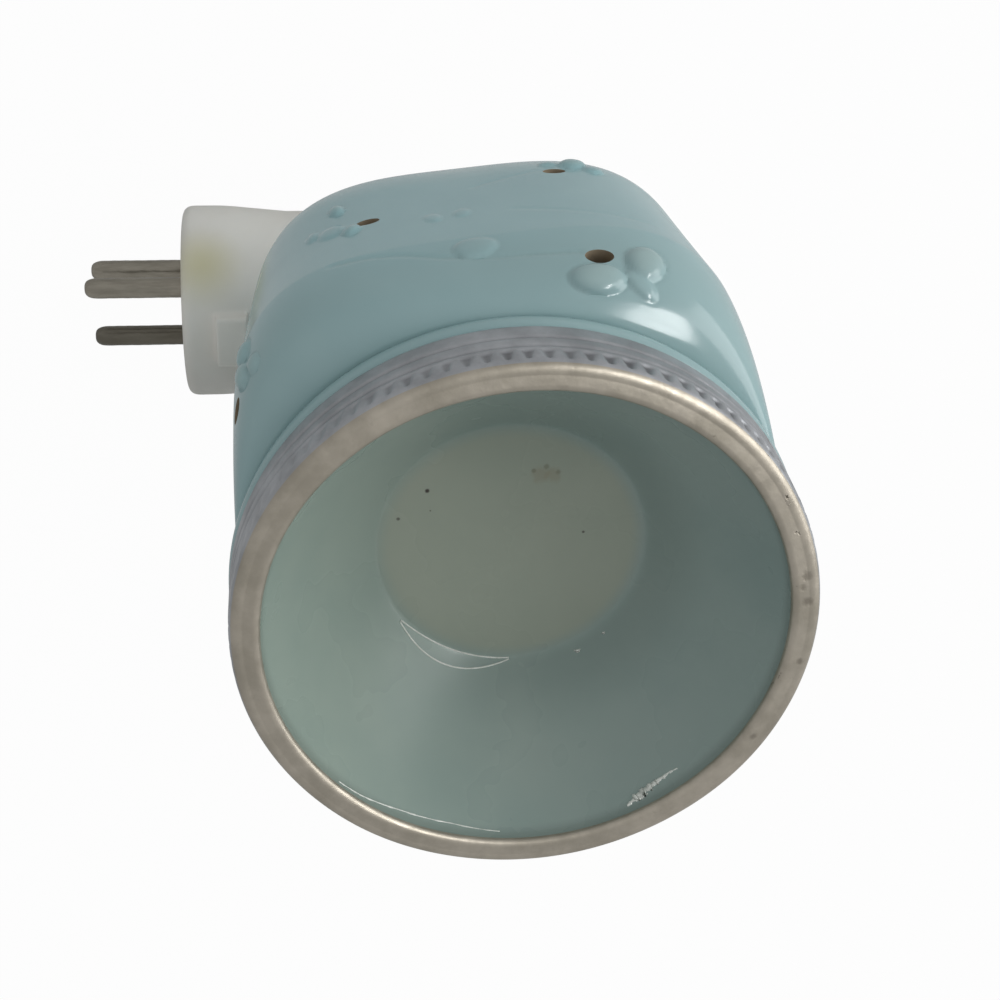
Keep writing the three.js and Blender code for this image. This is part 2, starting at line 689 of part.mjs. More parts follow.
// Fixed swivel parts in the drum
function waveWasher() {
  const middle = flangeFront - GAP - washerHeight / 2;
  const rings = [];
  for (let i = 0; i < WASHER_STEPS; i += 1) {
    const degrees = (360 * i) / WASHER_STEPS;
    const lift = WASHER_WAVE * Math.cos(WASHER_WAVES * THREE.MathUtils.degToRad(degrees));
    const inner = aroundPlug(washerInner, degrees);
    const outer = aroundPlug(washerOuter, degrees);
    const low = middle + lift - WASHER_THICKNESS / 2;
    const high = low + WASHER_THICKNESS;
    rings.push([
      new THREE.Vector3(inner.x, low, inner.z),
      new THREE.Vector3(inner.x, high, inner.z),
      new THREE.Vector3(outer.x, high, outer.z),
      new THREE.Vector3(outer.x, low, outer.z),
    ]);
  }
  return solid(loftLoop(rings));
}

function brushPlaces() {
  return {
    line: aroundPlug(trackRadius, pinTurn - SWIVEL_TRAVEL / 2),
    neutral: aroundPlug(trackRadius, -pinTurn - SWIVEL_TRAVEL / 2),
  };
}

function brushBoard() {
  const disc = turnedAlongY(rod(drumBore - GAP, boardFront, boardRear));
  const holes = Object.values(brushPlaces()).map((place) => {
    return alongY(turnedAlongY(rod(BRUSH_STEM_RADIUS + GAP, boardFront - OVERRUN, boardRear + OVERRUN), SMALL_SIDES), place);
  });
  return cut(disc, ...holes);
}

function brush(place) {
  const headFront = boardRear + GAP;
  const headRear = trackFront - GAP;
  return alongY(turnedAlongY([
    [0, brushEnd],
    [BRUSH_STEM_RADIUS, brushEnd],
    [BRUSH_STEM_RADIUS, headFront],
    [BRUSH_HEAD_RADIUS, headFront],
    [BRUSH_HEAD_RADIUS, headRear - (headRear - headFront) / 2],
    [BRUSH_HEAD_RADIUS / 2, headRear],
    [0, headRear],
  ], SMALL_SIDES), place);
}

function retainingRing() {
  const outer = drumBore + RING_BITE;
  return sector(outer - RING_WIDTH, outer, RING_SPLIT / 2, 360 - RING_SPLIT / 2, ringFront, RING_THICKNESS, 24);
}

// Wires from the brushes' tails, along the drum's floor and up to the lampholder's tails
function lead(start, tailX) {
  const drumFloor = -drumBore + 4 * LEAD_RADIUS;
  const from = brushEnd - GAP;
  const end = HOLDER_BOTTOM - CONTACT_TAIL - GAP;
  const run = -AXIS_TO_FACE - from;
  const mix = (share) => start.x + (tailX - start.x) * share;
  return wire([
    [start.x, from, start.z],
    [start.x, from + LEAD_STRAIGHT * run, start.z],
    [mix(LEAD_DROP), from + LEAD_DROP * run, drumFloor],
    [mix(LEAD_LEVEL), from + LEAD_LEVEL * run, drumFloor],
    [tailX, -AXIS_TO_FACE + 3 * LEAD_RADIUS, drumFloor],
    [tailX, -AXIS_TO_FACE, end - 2 * LEAD_RADIUS],
    [tailX, -AXIS_TO_FACE, end],
  ], LEAD_RADIUS, WIRE_SIDES, LEAD_STEPS);
}

// Lampholder, drawn on the jar's axis
function lampholderBody() {
  const wall = shellOuter + GAP;
  const insulator = turnedUp([
    [0, HOLDER_BOTTOM],
    [HOLDER_FOOT_RADIUS, HOLDER_BOTTOM],
    [HOLDER_FOOT_RADIUS, HOLDER_FOOT_TOP],
    [HOLDER_RADIUS, HOLDER_FOOT_TOP],
    [HOLDER_RADIUS, holderTop - COLLAR_CHAMFER],
    [HOLDER_RADIUS - COLLAR_CHAMFER, holderTop],
    [wall, holderTop],
    [wall, SOCKET_FLOOR],
    [0, SOCKET_FLOOR],
  ]);
  const stemHole = turnedUp(rod(CONTACT_STEM_RADIUS + GAP, HOLDER_BOTTOM - OVERRUN, SOCKET_FLOOR + OVERRUN), SMALL_SIDES);
  const pilot = alongX(rod(NECK_SCREW_RADIUS + GAP, -2 * HOLDER_RADIUS, 2 * HOLDER_RADIUS), SMALL_SIDES)
    .translate([0, 0, neckScrewHeight]);
  const core = turnedUp(rod(HOLDER_RADIUS - NECK_SCREW_BITE - GAP, HOLDER_FOOT_TOP, holderTop));
  return cut(insulator, stemHole, stemHole.translate([-sideContactPlace, 0, 0]), cut(pilot, core));
}

function screwShell() {
  return turnedUp(tube(shellInner, shellOuter, shellBottom, holderTop - GAP));
}

function centreContact() {
  return turnedUp([
    [0, HOLDER_BOTTOM - CONTACT_TAIL],
    [CONTACT_STEM_RADIUS, HOLDER_BOTTOM - CONTACT_TAIL],
    [CONTACT_STEM_RADIUS, SOCKET_FLOOR + GAP],
    [CONTACT_HEAD_RADIUS, SOCKET_FLOOR + GAP],
    [CONTACT_HEAD_RADIUS, contactHeadTop],
    [0, contactHeadTop],
  ], PIN_SIDES);
}

function sideContact() {
  const stem = turnedUp(rod(CONTACT_STEM_RADIUS, HOLDER_BOTTOM - CONTACT_TAIL, SOCKET_FLOOR), SMALL_SIDES);
  return stem.translate([-sideContactPlace, 0, 0]);
}

function neckScrew(side) {
  const seat = NECK_BOSS_RADIUS + GAP;
  const screw = alongX([
    [0, HOLDER_RADIUS - NECK_SCREW_BITE],
    [NECK_SCREW_RADIUS, HOLDER_RADIUS - NECK_SCREW_BITE],
    [NECK_SCREW_RADIUS, seat],
    [SCREW_HEAD_RADIUS, seat],
    [SCREW_HEAD_RADIUS * SCREW_CROWN, seat + SCREW_HEAD_HEIGHT],
    [0, seat + SCREW_HEAD_HEIGHT],
  ], SMALL_SIDES);
  return screw.rotate([0, 0, side > 0 ? 0 : 180]).translate([0, 0, neckScrewHeight]);
}

function ringNut() {
  const bore = HOLDER_RADIUS + GAP;
  const steps = NUT_LOBES * NUT_LOBE_STEPS;
  const outline = Array.from({ length: steps }, (_, i) => {
    const angle = (2 * Math.PI * i) / steps;
    const radius = CLAMP_RADIUS - NUT_LOBE_DEPTH * (1 - Math.cos(NUT_LOBES * angle)) / 2;
    return new THREE.Vector2(radius * Math.cos(angle), radius * Math.sin(angle));
  });
  const shape = new THREE.Shape(outline);
  const nut = new THREE.ExtrudeGeometry(shape, { depth: NUT_HEIGHT, bevelEnabled: false });
  const hole = turnedUp(rod(bore, nutBottom - OVERRUN, nutTop + OVERRUN));
  return cut(solid(nut.translate(0, 0, nutBottom)), hole);
}

// Lamp
function bulbCap() {
  return turnedUp(tube(CAP_RADIUS - CAP_WALL, CAP_RADIUS, capBottom, capTop));
}

function bulbInsulator() {
  return turnedUp([
    [0, insulatorBottom],
    [TIP_RADIUS, insulatorBottom],
    [CAP_RADIUS, insulatorBottom + INSULATOR_HEIGHT],
    [0, insulatorBottom + INSULATOR_HEIGHT],
  ]);
}

function bulbTip() {
  return turnedUp([
    [0, tipBottom],
    [TIP_RADIUS / 2, tipBottom],
    [TIP_RADIUS, tipBottom + TIP_HEIGHT],
    [0, tipBottom + TIP_HEIGHT],
  ], PIN_SIDES);
}

function glassProfile(inset) {
  const neck = glassNeck - inset;
  const belly = GLASS_RADIUS - inset;
  const bellyLow = capTop + GLASS_SHOULDER * GLASS_LENGTH;
  const bellyHigh = capTop + GLASS_LENGTH - GLASS_RADIUS;
  return [
    [neck, glassBottom],
    [neck, capTop + GLASS_STEP],
    ...curvePoints([neck, capTop + 2 * GLASS_STEP], [belly, capTop + 3 * GLASS_STEP], [belly, bellyLow], 4),
    ...arcPoints(0, bellyHigh, belly, 0, 90, 5),
  ];
}

function bulbGlass() {
  const outside = glassProfile(0);
  const inside = glassProfile(GLASS_WALL).reverse();
  return turnedUp([...outside, ...inside, outside[0]], GLASS_SIDES);
}

function bulbStem() {
  const bore = glassNeck - GLASS_WALL - GAP;
  return turnedUp([
    [0, glassBottom],
    [bore, glassBottom],
    [bore, glassBottom + STEM_FLARE],
    [bore / STEM_SLIMMING, glassBottom + STEM_TAPER],
    [bore / STEM_SLIMMING, glassBottom + STEM_HEIGHT],
    [0, glassBottom + STEM_HEIGHT],
  ], PIN_SIDES);
}

function bulbFilament() {
  const foot = glassBottom + STEM_HEIGHT + GAP + FILAMENT_RADIUS;
  const top = foot + FILAMENT_RISE;
  return wire([
    [-FILAMENT_FOOT, 0, foot],
    [-FILAMENT_HALF_SPAN, 0, foot + FILAMENT_RISE / 2],
    [-FILAMENT_HALF_SPAN, 0, top],
    [0, 0, top + FILAMENT_ARCH],
    [FILAMENT_HALF_SPAN, 0, top],
    [FILAMENT_HALF_SPAN, 0, foot + FILAMENT_RISE / 2],
    [FILAMENT_FOOT, 0, foot],
  ], FILAMENT_RADIUS, FILAMENT_SIDES, FILAMENT_STEPS);
}

// Finishes
const finish = (color, roughness, metalness = 0) => new THREE.MeshStandardMaterial({ color, roughness, metalness });
const celadon = finish(0x87a09c, 0.2);
const silverGlaze = finish(0x98979a, 0.3, 0.6);
const whitePlastic = finish(0xd8d6cc, 0.5);
const tawnyPlastic = finish(0xcfc9b4, 0.55);
const pinMetal = finish(0x5d564b, 0.35, 0.9);
const brassMetal = finish(0xb08d4c, 0.35, 0.9);
const steelMetal = finish(0xa9abad, 0.35, 0.9);
const rubberSeal = finish(0x3b3a38, 0.8);
const fibre = finish(0x8a6f52, 0.8);
const blackInsulator = finish(0x2a2624, 0.4);
const lampGlass = finish(0xe9edf0, 0.05);
const tungsten = finish(0x77777a, 0.4, 0.9);
const redLead = finish(0x8f3a30, 0.5);
const blueLead = finish(0x35598a, 0.5);

function piece(name, body, material) {
  const mesh = new THREE.Mesh(geometryOf(body), material);
  mesh.name = name;
  return mesh;
}

// Everything on the jar's upright axis
const upright = new THREE.Group();
upright.position.set(0, -AXIS_TO_FACE, 0);

const turnedJar = new THREE.Group();
turnedJar.position.set(0, 0, jarBottom);
turnedJar.rotation.z = THREE.MathUtils.degToRad(JAR_TURN);
turnedJar.add(piece('jar_body', jarBody(), celadon));

upright.add(
  piece('wax_dish', waxDish(), silverGlaze),
  turnedJar,
  piece('jar_gasket', turnedUp(tube(jarHole, CLAMP_RADIUS, neckTop + GAP, neckTop + GAP + GASKET)), rubberSeal),
  piece('nut_washer', turnedUp(tube(jarHole, CLAMP_RADIUS, washerBottom, washerBottom + FIBRE_WASHER)), fibre),
  piece('ring_nut', ringNut(), blackInsulator),
  piece('lampholder_body', lampholderBody(), blackInsulator),
  piece('screw_shell', screwShell(), brassMetal),
  piece('centre_contact', centreContact(), brassMetal),
  piece('side_contact', sideContact(), brassMetal),
  piece('neck_screw_a', neckScrew(1), steelMetal),
  piece('neck_screw_b', neckScrew(-1), steelMetal),
  piece('bulb_glass', bulbGlass(), lampGlass),
  piece('bulb_cap', bulbCap(), steelMetal),
  piece('bulb_insulator', bulbInsulator(), blackInsulator),
  piece('bulb_tip', bulbTip(), steelMetal),
  piece('bulb_stem', bulbStem(), lampGlass),
  piece('bulb_filament', bulbFilament(), tungsten),
);

// The swivelling plug at the photograph's angle
const swivel = new THREE.Group();
swivel.rotation.y = THREE.MathUtils.degToRad(-SWIVEL_REST);
const pins = pinPlaces();
swivel.add(
  piece('pin_carrier', pinCarrier(), tawnyPlastic),
  piece('pin_line', pin(pins.line), pinMetal),
  piece('pin_neutral', pin(pins.neutral), pinMetal),
  piece('pin_earth', pin(pins.earth), pinMetal),
  piece('track_line', track(pinTurn), brassMetal),
  piece('track_neutral', track(-pinTurn), brassMetal),
);

const brushes = brushPlaces();
const screws = screwPlaces();
const warmer = new THREE.Group();
warmer.name = 'electric_wax_warmer';
warmer.add(
  upright,
  swivel,
  piece('elbow_housing', elbowHousing(), whitePlastic),
  piece('front_cap', frontCap(), whitePlastic),
  piece('cap_screw_a', capScrew(screws[0]), steelMetal),
  piece('cap_screw_b', capScrew(screws[1]), steelMetal),
  piece('wave_washer', waveWasher(), steelMetal),
  piece('brush_board', brushBoard(), fibre),
  piece('brush_line', brush(brushes.line), brassMetal),
  piece('brush_neutral', brush(brushes.neutral), brassMetal),
  piece('retaining_ring', retainingRing(), steelMetal),
  piece('lead_line', lead(brushes.line, 0), redLead),
  piece('lead_neutral', lead(brushes.neutral, -sideContactPlace), blueLead),
);

export default warmer;
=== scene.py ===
# Looks of the plug-in wax warmer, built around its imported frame. Shapes are in millimetres, +Z up.
import math

import bpy
import numpy as np
from mathutils import Matrix, Quaternion, Vector


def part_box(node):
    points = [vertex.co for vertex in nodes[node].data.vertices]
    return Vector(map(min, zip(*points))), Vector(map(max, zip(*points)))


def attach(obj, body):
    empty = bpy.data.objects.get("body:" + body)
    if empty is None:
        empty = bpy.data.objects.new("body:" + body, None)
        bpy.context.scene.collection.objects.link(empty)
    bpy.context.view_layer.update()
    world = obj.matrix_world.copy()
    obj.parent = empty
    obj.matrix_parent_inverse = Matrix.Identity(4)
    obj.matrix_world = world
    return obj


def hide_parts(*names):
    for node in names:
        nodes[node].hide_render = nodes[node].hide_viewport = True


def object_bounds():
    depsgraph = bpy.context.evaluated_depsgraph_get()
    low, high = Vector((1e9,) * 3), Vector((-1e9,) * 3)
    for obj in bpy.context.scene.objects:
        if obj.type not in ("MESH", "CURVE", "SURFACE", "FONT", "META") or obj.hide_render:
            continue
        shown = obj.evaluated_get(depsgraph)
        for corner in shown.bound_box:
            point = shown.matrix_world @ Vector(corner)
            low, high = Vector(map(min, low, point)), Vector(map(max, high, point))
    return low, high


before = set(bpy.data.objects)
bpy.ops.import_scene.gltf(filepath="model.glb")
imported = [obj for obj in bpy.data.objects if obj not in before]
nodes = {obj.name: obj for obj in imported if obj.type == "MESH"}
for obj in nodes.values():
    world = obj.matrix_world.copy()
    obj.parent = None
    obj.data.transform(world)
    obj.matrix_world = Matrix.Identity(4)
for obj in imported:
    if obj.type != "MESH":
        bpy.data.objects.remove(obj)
cad_low, cad_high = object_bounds()

MM = 0.001
# Sides of large round pieces
ROUND_SIDES = 128


# Places taken from the frame
def node_box(node):
    """Low and high corner of a node's box, in millimetres."""
    return [np.array(corner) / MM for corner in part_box(node)]


dish_low, dish_high = node_box("wax_dish")
cap_low, cap_high = node_box("front_cap")
AXIS_Y = (dish_low[1] + dish_high[1]) / 2
RIM_TOP = dish_high[2]
DISH_UNDERSIDE = dish_low[2]
JAR_BOTTOM = node_box("jar_body")[0][2]

# Jar
JAR_HALF_WIDTH = 48.7
JAR_HALF_DEPTH = 40.4
JAR_SQUARENESS = 3.67
JAR_TURN = np.array(Matrix.Rotation(math.radians(7), 3, "Z"))
JAR_WALL = 4.5
JAR_BOTTOM_SCALE = 0.89
JAR_ROUND_HEIGHT = 37.0
JAR_PAD_RADIUS = 21.0
JAR_HOLE = 14.2
SHOULDER_HEIGHT = 16.0
NECK_BASE = 83.4
BEAD_HEIGHT = 3.9
BEAD_RADIUS = 43.15
NECK_RADIUS = 41.8
NECK_BORE = 38.0
SHOULDER_START = NECK_BASE - SHOULDER_HEIGHT
JAR_SIDES = 720
JAR_INNER_SIDES = 180
# Steps up the outside and the lining: rounded bottom, wall and shoulder
OUTSIDE_STEPS = (86, 72, 56)
LINING_STEPS = (20, 12, 14)
BEAD_STEPS = 13

# Relief on the jar: turn in degrees and height above the jar's bottom
# Light holes: turn, height and radius
LIGHT_HOLES = [
    (-19.8, 76.0, 1.75),
    (-18.4, 37.2, 1.3),
    (18.2, 51.4, 1.55),
    (52, 76, 1.7),
    (98, 44, 1.75),
    (146, 66, 1.75),
    (208, 48, 1.75),
    (268, 64, 1.75),
]
# Drill of a light hole: stretch along and up the skin, depth, reach and its soft lip's widening and height
HOLE_STRETCH = (1.12, 0.8)
DRILL_DEPTH = 12
DRILL_REACH = 6
HOLE_LIP = [(0.0, -0.7), (0.15, -0.25), (0.9, 0.45)]
# Petals: turn, height, half length, half width, spin in degrees and rise
PETALS = [
    (-19.6, 80.0, 4.1, 2.6, 0, 1.1),
    (-27.4, 76.6, 2.9, 3.4, 0, 1.2),
    (-27.0, 80.2, 3.0, 1.5, 140, 0.5),
    (24.0, 41.4, 1.3, 2.4, 10, 0.8),
    (21.0, 53.9, 1.4, 2.1, -15, 0.8),
    (24.8, 51.6, 2.3, 3.0, 0, 0.45),
    (28.4, 49.8, 1.1, 2.4, 0, 0.4),
    (-22.6, 33.4, 2.4, 2.6, 0, 1.1),
    (-26.0, 35.9, 1.8, 1.9, 20, 0.6),
    (-18.0, 32.8, 1.7, 1.5, 0, 0.5),
    (45.0, 70.6, 2.2, 1.9, 20, 1.0),
    (46.5, 74.6, 2.0, 2.4, 0, 1.1),
    (42.8, 76.3, 1.6, 1.8, 0, 0.7),
    (6.6, 55.6, 1.3, 2.2, 10, 0.2),
    (1.2, 54.9, 1.3, 2.2, -10, 0.2),
]
LEAF_RISE = 0.55
LEAVES = [(0.5, 71.0, 3.3, 2.9, 20), (122, 52, 4.2, 2.8, 120), (236, 60, 4.2, 2.8, 50)]
FLOWERS = [(105, 47, 35), (153, 69, 10), (215, 51, 60), (275, 67, 25)]
FLOWER_PETALS = 5
FLOWER_RADIUS = 5.0
FLOWER_RISE = 1.2
FLOWER_EYE = (1.5, 1.5, 0, 0.9 * FLOWER_RISE)
FLOWER_PETAL = (3.1, 2.5)
# Shape of a petal: fullness, edge, and the depth, place and width of the moat round it
DOME_FULLNESS = 2.4
DOME_EDGE = 0.62
MOAT_DEPTH = 0.09
MOAT_PLACE = 1.1
MOAT_WIDTH = 0.12
# Relief ends this far from its place
RELIEF_REACH = 9.0
# Branches: depth and path
BRANCHES = [
    (0.24, [(24.5, 68.2), (17.9, 69.1), (13.1, 70.3), (6.7, 72.6), (-3.3, 74.3), (-16.7, 74.9)]),
    (0.08, [(-2, 42), (-3.6, 40.9), (-11.8, 37.7), (-15.9, 36.3)]),
    (0.08, [(-8, 56.0), (-10.8, 57.0), (-19.0, 59.8), (-28.6, 62.3), (-40, 63)]),
    (0.24, [(60, 66), (75, 60), (86, 52), (95, 45)]),
    (0.24, [(110, 56), (124, 58), (136, 62), (143, 65)]),
    (0.24, [(168, 62), (182, 60), (196, 54), (205, 49)]),
    (0.24, [(225, 55), (238, 55), (252, 60), (264, 63)]),
    (0.24, [(285, 62), (298, 57), (310, 57)]),
]
BRANCH_WIDTH = 0.46
BRANCH_STEPS = 14
BRANCH_MARGIN = 3
# Slow waves of the glaze: height, and how far from the bottom and the neck they fade in
SLIP_WAVE = 0.1
SLIP_FADE_BOTTOM = 12
SLIP_FADE_NECK = 10
# Soft flats in the skin: turn, height, half length, half width and depth
FLATS = [(-31.2, 82.0, 7.0, 4.6, 0.3)]
FLAT_FADE_NECK = 0.4

# Wax dish
RIM_RADIUS = 43.0
RIM_WIDTH = 4.5
BAND_RADIUS = 43.0
BAND_HEIGHT = 12.0
DISH_DEPTH = 25.0
DISH_FLOOR_RADIUS = 21.0
DISH_SEAT_RADIUS = NECK_BORE - 0.5
DISH_SEAT_DROP = 12.0
BOWL_LEAN = 5.5
BOWL_SWELL = 10.5
UNDER_SWELL = 3.4
GROOVE_DROPS = (8.3, 5.6)
GROOVE_DEPTH = 0.24
GROOVE_WIDTH = 0.36
DENT_COUNT = 96
DENT_STEPS = 8
DENT_DEPTH = 0.5
DENT_TOP_DROP = 4.2
DENT_BOTTOM_DROP = 1.5
# Half width of a dent at its tip, and what its broad end adds
DENT_HALF_TIP = 0.16
DENT_FLARE = 0.26
# Where the dents are filled with paint and how far round, in radians, and how full they are there
WORN_DENTS_TURN = 1.5
WORN_DENTS_WIDTH = 1.08
WORN_DENTS_LEFT = 0.55
# Skin further in than this from the rim's edge has no grooves or dents
BAND_SKIN = 1.6
DISH_SIDES = DENT_COUNT * DENT_STEPS
BOWL_SIDES = DISH_SIDES // 4

# Painted highlight in the bowl: a crescent of pale raised lines along the floor's edge, from turn to turn,
# with its bulge and thickness
PAINTED_CRESCENT_TURNS = (127.5, 181)
PAINTED_CRESCENT_LINES = [(DISH_FLOOR_RADIUS + 0.1, 0.0), (DISH_FLOOR_RADIUS + 0.3, 1.8)]
PAINTED_CRESCENT_WIDTH = 0.13
# Wax left on the bowl's wall (the first two strokes), and pale strokes that are painted highlights (a thin
# line along the rim's inner edge, two glints by the floor): turns in degrees, heights and widths along
# each stroke
WAX_AND_HIGHLIGHT_STROKES = [
    ((206.1, 209, 212.4, 215.4, 218.6, 220.8), (119.6, 118.7, 118.3, 118.1, 118, 118.2),
     (0.15, 0.95, 0.8, 0.5, 0.25, 0.12)),
    ((208.3, 209.8, 211.8), (119.2, 119.1, 119.2), (0.2, 0.5, 0.1)),
    ((134, 140.3, 151.1, 163.7, 175.6), (120.2, 120.05, 119.35, 119.15, 119.7),
     (0.1, 0.13, 0.13, 0.12, 0.08)),
    ((208.8, 210.1, 211.4), (98.1, 98.25, 98.3), (0.1, 0.3, 0.1)),
    ((222.8, 223.4, 224.0), (98.1, 98.15, 98.2), (0.08, 0.2, 0.08)),
]
# Marks in the bowl: place, size, share and colour
DARK_SPECK = (0.035, 0.022, 0.02)
BROWN_STAIN = (0.29, 0.26, 0.18)
STAIN_SPOT = (0.15, 0.15, 0.10)
BOWL_MARKS = [
    ((9.9, -40.9, 97), 0.55, 0.9, DARK_SPECK),
    ((5.1, -36.5, 97), 0.45, 0.7, DARK_SPECK),
    ((6.4, -41.4, 97), 0.22, 0.6, DARK_SPECK),
    ((1.9, -65.3, 97), 0.32, 0.7, DARK_SPECK),
    ((12.3, -58.2, 97), 2.2, 0.4, BROWN_STAIN),
    ((12.2, -60.2, 97), 1.9, 0.4, BROWN_STAIN),
    ((13.0, -57.1, 97), 0.6, 0.5, STAIN_SPOT),
    ((13.6, -59.0, 97), 0.7, 0.5, STAIN_SPOT),
    ((12.6, -60.9, 97), 0.7, 0.45, STAIN_SPOT),
]
# Bare spots on the rim and the band: place and size
RIM_MARKS = [
    ((33.7, -72.7, 121.2), 0.45),
    ((8.2, -93.9, 121.6), 1.3),
    ((6.4, -93.6, 121.6), 0.9),
    ((3.9, -94.6, 121.6), 1.2),
    ((-6.6, -94.4, 121.6), 0.9),
    ((-20.1, -88.8, 121.6), 0.9),
    ((20.7, -90.1, 121.4), 0.5),
    ((34.7, -29.6, 111.4), 0.5),
]

# Plug elbow
DRUM_FRONT = -74.0
DRUM_RADIUS = 18.6
DRUM_BORE = 16.3
DRUM_EDGE = 2.2
DRUM_STRAIGHT = 8.0
WAIST_RADIUS = 17.4
WAIST_FROM_FACE = 20.0
REAR_WALL = 2.6
CARRIER_RADIUS = 13.5
CARRIER_HOLE = 13.8
CARRIER_FLANGE_RADIUS = 15.9
CARRIER_FLANGE_REAR = -2.9
CARRIER_FLANGE_FRONT = -5.4
NECK_BOSS_RADIUS = 19.4
NECK_TOP = 20.6
SPINE_HALF_WIDTH = 5.0
SPINE_RISE = 2.2
SPINE_FROM_FACE = 6.5
SPINE_LENGTH = 6.0
SWIVEL_REST = math.radians(37.1)
PIN_RADIUS = 2.0
PIN_LENGTH = 18.6
PIN_GAP = 0.3
PIN_MOUTH = 0.9
# Smoothing of the moulded elbow: mesh cell and rounds
ELBOW_CELL = 0.35
ELBOW_ROUNDS = 3
# Pin places with the plug turned level
PINS = {"line_pin": (9.5, 2.4), "neutral_pin": (-9.5, 2.4), "earth_pin": (0, -7.1)}
# Screws
SCREW_X = 10.5
SCREW_Z = -9.0
NECK_SCREW_HEIGHT = 13.0
SCREW_HEAD_RADIUS = 2.6
SCREW_HEAD_HEIGHT = 1.6
SCREW_SHANK_RADIUS = 1.3
SCREW_HOLE_RADIUS = 1.6
SCREW_PITCH = 0.9
SCREW_THREAD = 0.16
RECESS_DEPTH = 0.7
CAP_SCREW_LENGTH = 13.5
NECK_SCREW_LENGTH = 8.0
SCREW_LIFT = 0.3
# Front cap: thickness, gap round its spigot and the spigot's inner side from the bore
CAP_THICKNESS = 2.5
SPIGOT_GAP = 0.3
SPIGOT_INSET = 2.6

# Lamp and lampholder
CLAMP_RADIUS = 20.5
COLLAR_RADIUS = 13.9
COLLAR_FOOT = 3
COLLAR_THREAD_START = 22
COLLAR_PITCH = 2.0
COLLAR_THREAD = 0.2
HOLDER_FOOT_RADIUS = 10.5
SOCKET_RADIUS = 8.1
SOCKET_FLOOR = 11
SHELL_RADII = (7.1, 7.8)
LAMP_CAP_RADII = (5.9, 6.8)
LAMP_CAP_PITCH = 2.82
LAMP_CAP_THREAD = 0.3
GLASS_NECK = 6.0
GLASS_BELLY = 13.0
GLASS_WALL = 0.9
COIL_SPAN = 5.0
COIL_TURNS = 26
COIL_RADIUS = 0.5

# How white each kind of ray sees the floor and the sky
WHITENESS = {"Is Camera Ray": 0.97, "Is Transmission Ray": 0.97, "Is Glossy Ray": 0.2}
SKY_COLOUR = (0.95, 0.96, 0.97)
SKY_STRENGTH = 0.49
FLOOR_HALF_SIZE = 3000.0
FLOOR_GAP = 1
FLOOR_DEPTH = 12
# Lights: direction, distance, size, power, whether mirrored, whether lighting, and roll in degrees
LIGHTS = {
    "key": ((0.25, -0.9, 0.35), 1.0, (0.9, 0.7), 5.4, True, True, 0),
    "fill": ((0.75, -0.15, 0.62), 1.0, (0.8, 0.8), 1.0, False, True, 0),
    "window": ((0.36, -0.50, 0.79), 0.9, (0.13, 0.46), 3.9, True, False, 28),
    "door": ((0.25, -0.9, 0.36), 1.0, (0.8, 0.7), 2.2, True, False, 0),
}
# Lights look at this height over the jar's bottom
LIT_HEIGHT = 50

# Camera fitted to the photograph
CAMERA_PLACE = Vector((0.14675, -0.02252, 0.34112))
CAMERA_RIGHT = Vector((0.0296, -0.9942, 0.1036))
CAMERA_DOWN = Vector((-0.8704, 0.0253, 0.4917))
FOCAL_PIXELS = 1842.5
PHOTO_PIXELS = 1000
SENSOR = 36.0


# Mesh helpers
def new_object(name, points, faces, materials, face_slots=None):
    mesh = bpy.data.meshes.new(name)
    mesh.from_pydata((np.asarray(points) * MM).tolist(), [], faces)
    for material in materials:
        mesh.materials.append(material)
    if face_slots is not None:
        mesh.polygons.foreach_set("material_index", np.asarray(face_slots, np.int32))
    mesh.shade_smooth()
    obj = bpy.data.objects.new(name, mesh)
    bpy.context.scene.collection.objects.link(obj)
    return obj


def grid_faces(rings, sides, closed, first=0):
    """Quads between rings of points, facing out where the rings go outward and up."""
    ring = np.arange(rings if closed else rings - 1)[:, None]
    after = (ring + 1) % rings
    side = np.arange(sides)[None, :]
    beside = (side + 1) % sides
    corners = [(ring, side), (ring, beside), (after, beside), (after, side)]
    quads = np.stack([row * sides + place for row, place in corners], -1)
    return (quads.reshape(-1, 4) + first).tolist()


def join(shapes):
    """One set of points and faces from several."""
    faces = []
    first = 0
    for points, own_faces in shapes:
        faces += [tuple(i + first for i in face) for face in own_faces]
        first += len(points)
    return np.vstack([points for points, _ in shapes]), faces


def polar(radius, angle, height):
    return np.stack([radius * np.cos(angle), radius * np.sin(angle), height], -1)


def turn_profile(profile, sides, reshape=None):
    """Rings of points made by turning a profile of (radius, height) about Z."""
    profile = np.asarray(profile, float)
    angle = 2 * np.pi * np.arange(sides)[None, :] / sides
    radius = np.repeat(profile[:, :1], sides, axis=1)
    height = np.repeat(profile[:, 1:], sides, axis=1)
    if reshape:
        radius, height = reshape(radius, height, angle)
    return polar(radius, angle, height).reshape(-1, 3)


def revolve(profile, sides, reshape=None):
    """A solid turned about Z. Its profile runs from axis to axis or round a closed loop."""
    on_axis = profile[0][0] == 0
    body = profile[1:-1] if on_axis else profile
    points = turn_profile(body, sides, reshape)
    faces = grid_faces(len(body), sides, not on_axis)
    if on_axis:
        low, high = len(points), len(points) + 1
        points = np.vstack([points, [0, 0, profile[0][1]], [0, 0, profile[-1][1]]])
        top = (len(body) - 1) * sides
        for j in range(sides):
            k = (j + 1) % sides
            faces.append((low, k, j))
            faces.append((high, top + j, top + k))
    return points, faces


def turned(name, profile, sides, place, material, reshape=None):
    """An object turned from a profile and put in its place."""
    points, faces = revolve(profile, sides, reshape)
    return new_object(name, place(points), faces, [material])


def cylinder(radius, low, high):
    return [(0, low), (radius, low), (radius, high), (0, high)]


def helix(height, angle, pitch):
    """The wave of a screw thread, from nought to two."""
    return 1 + np.sin(angle - 2 * np.pi * height / pitch)


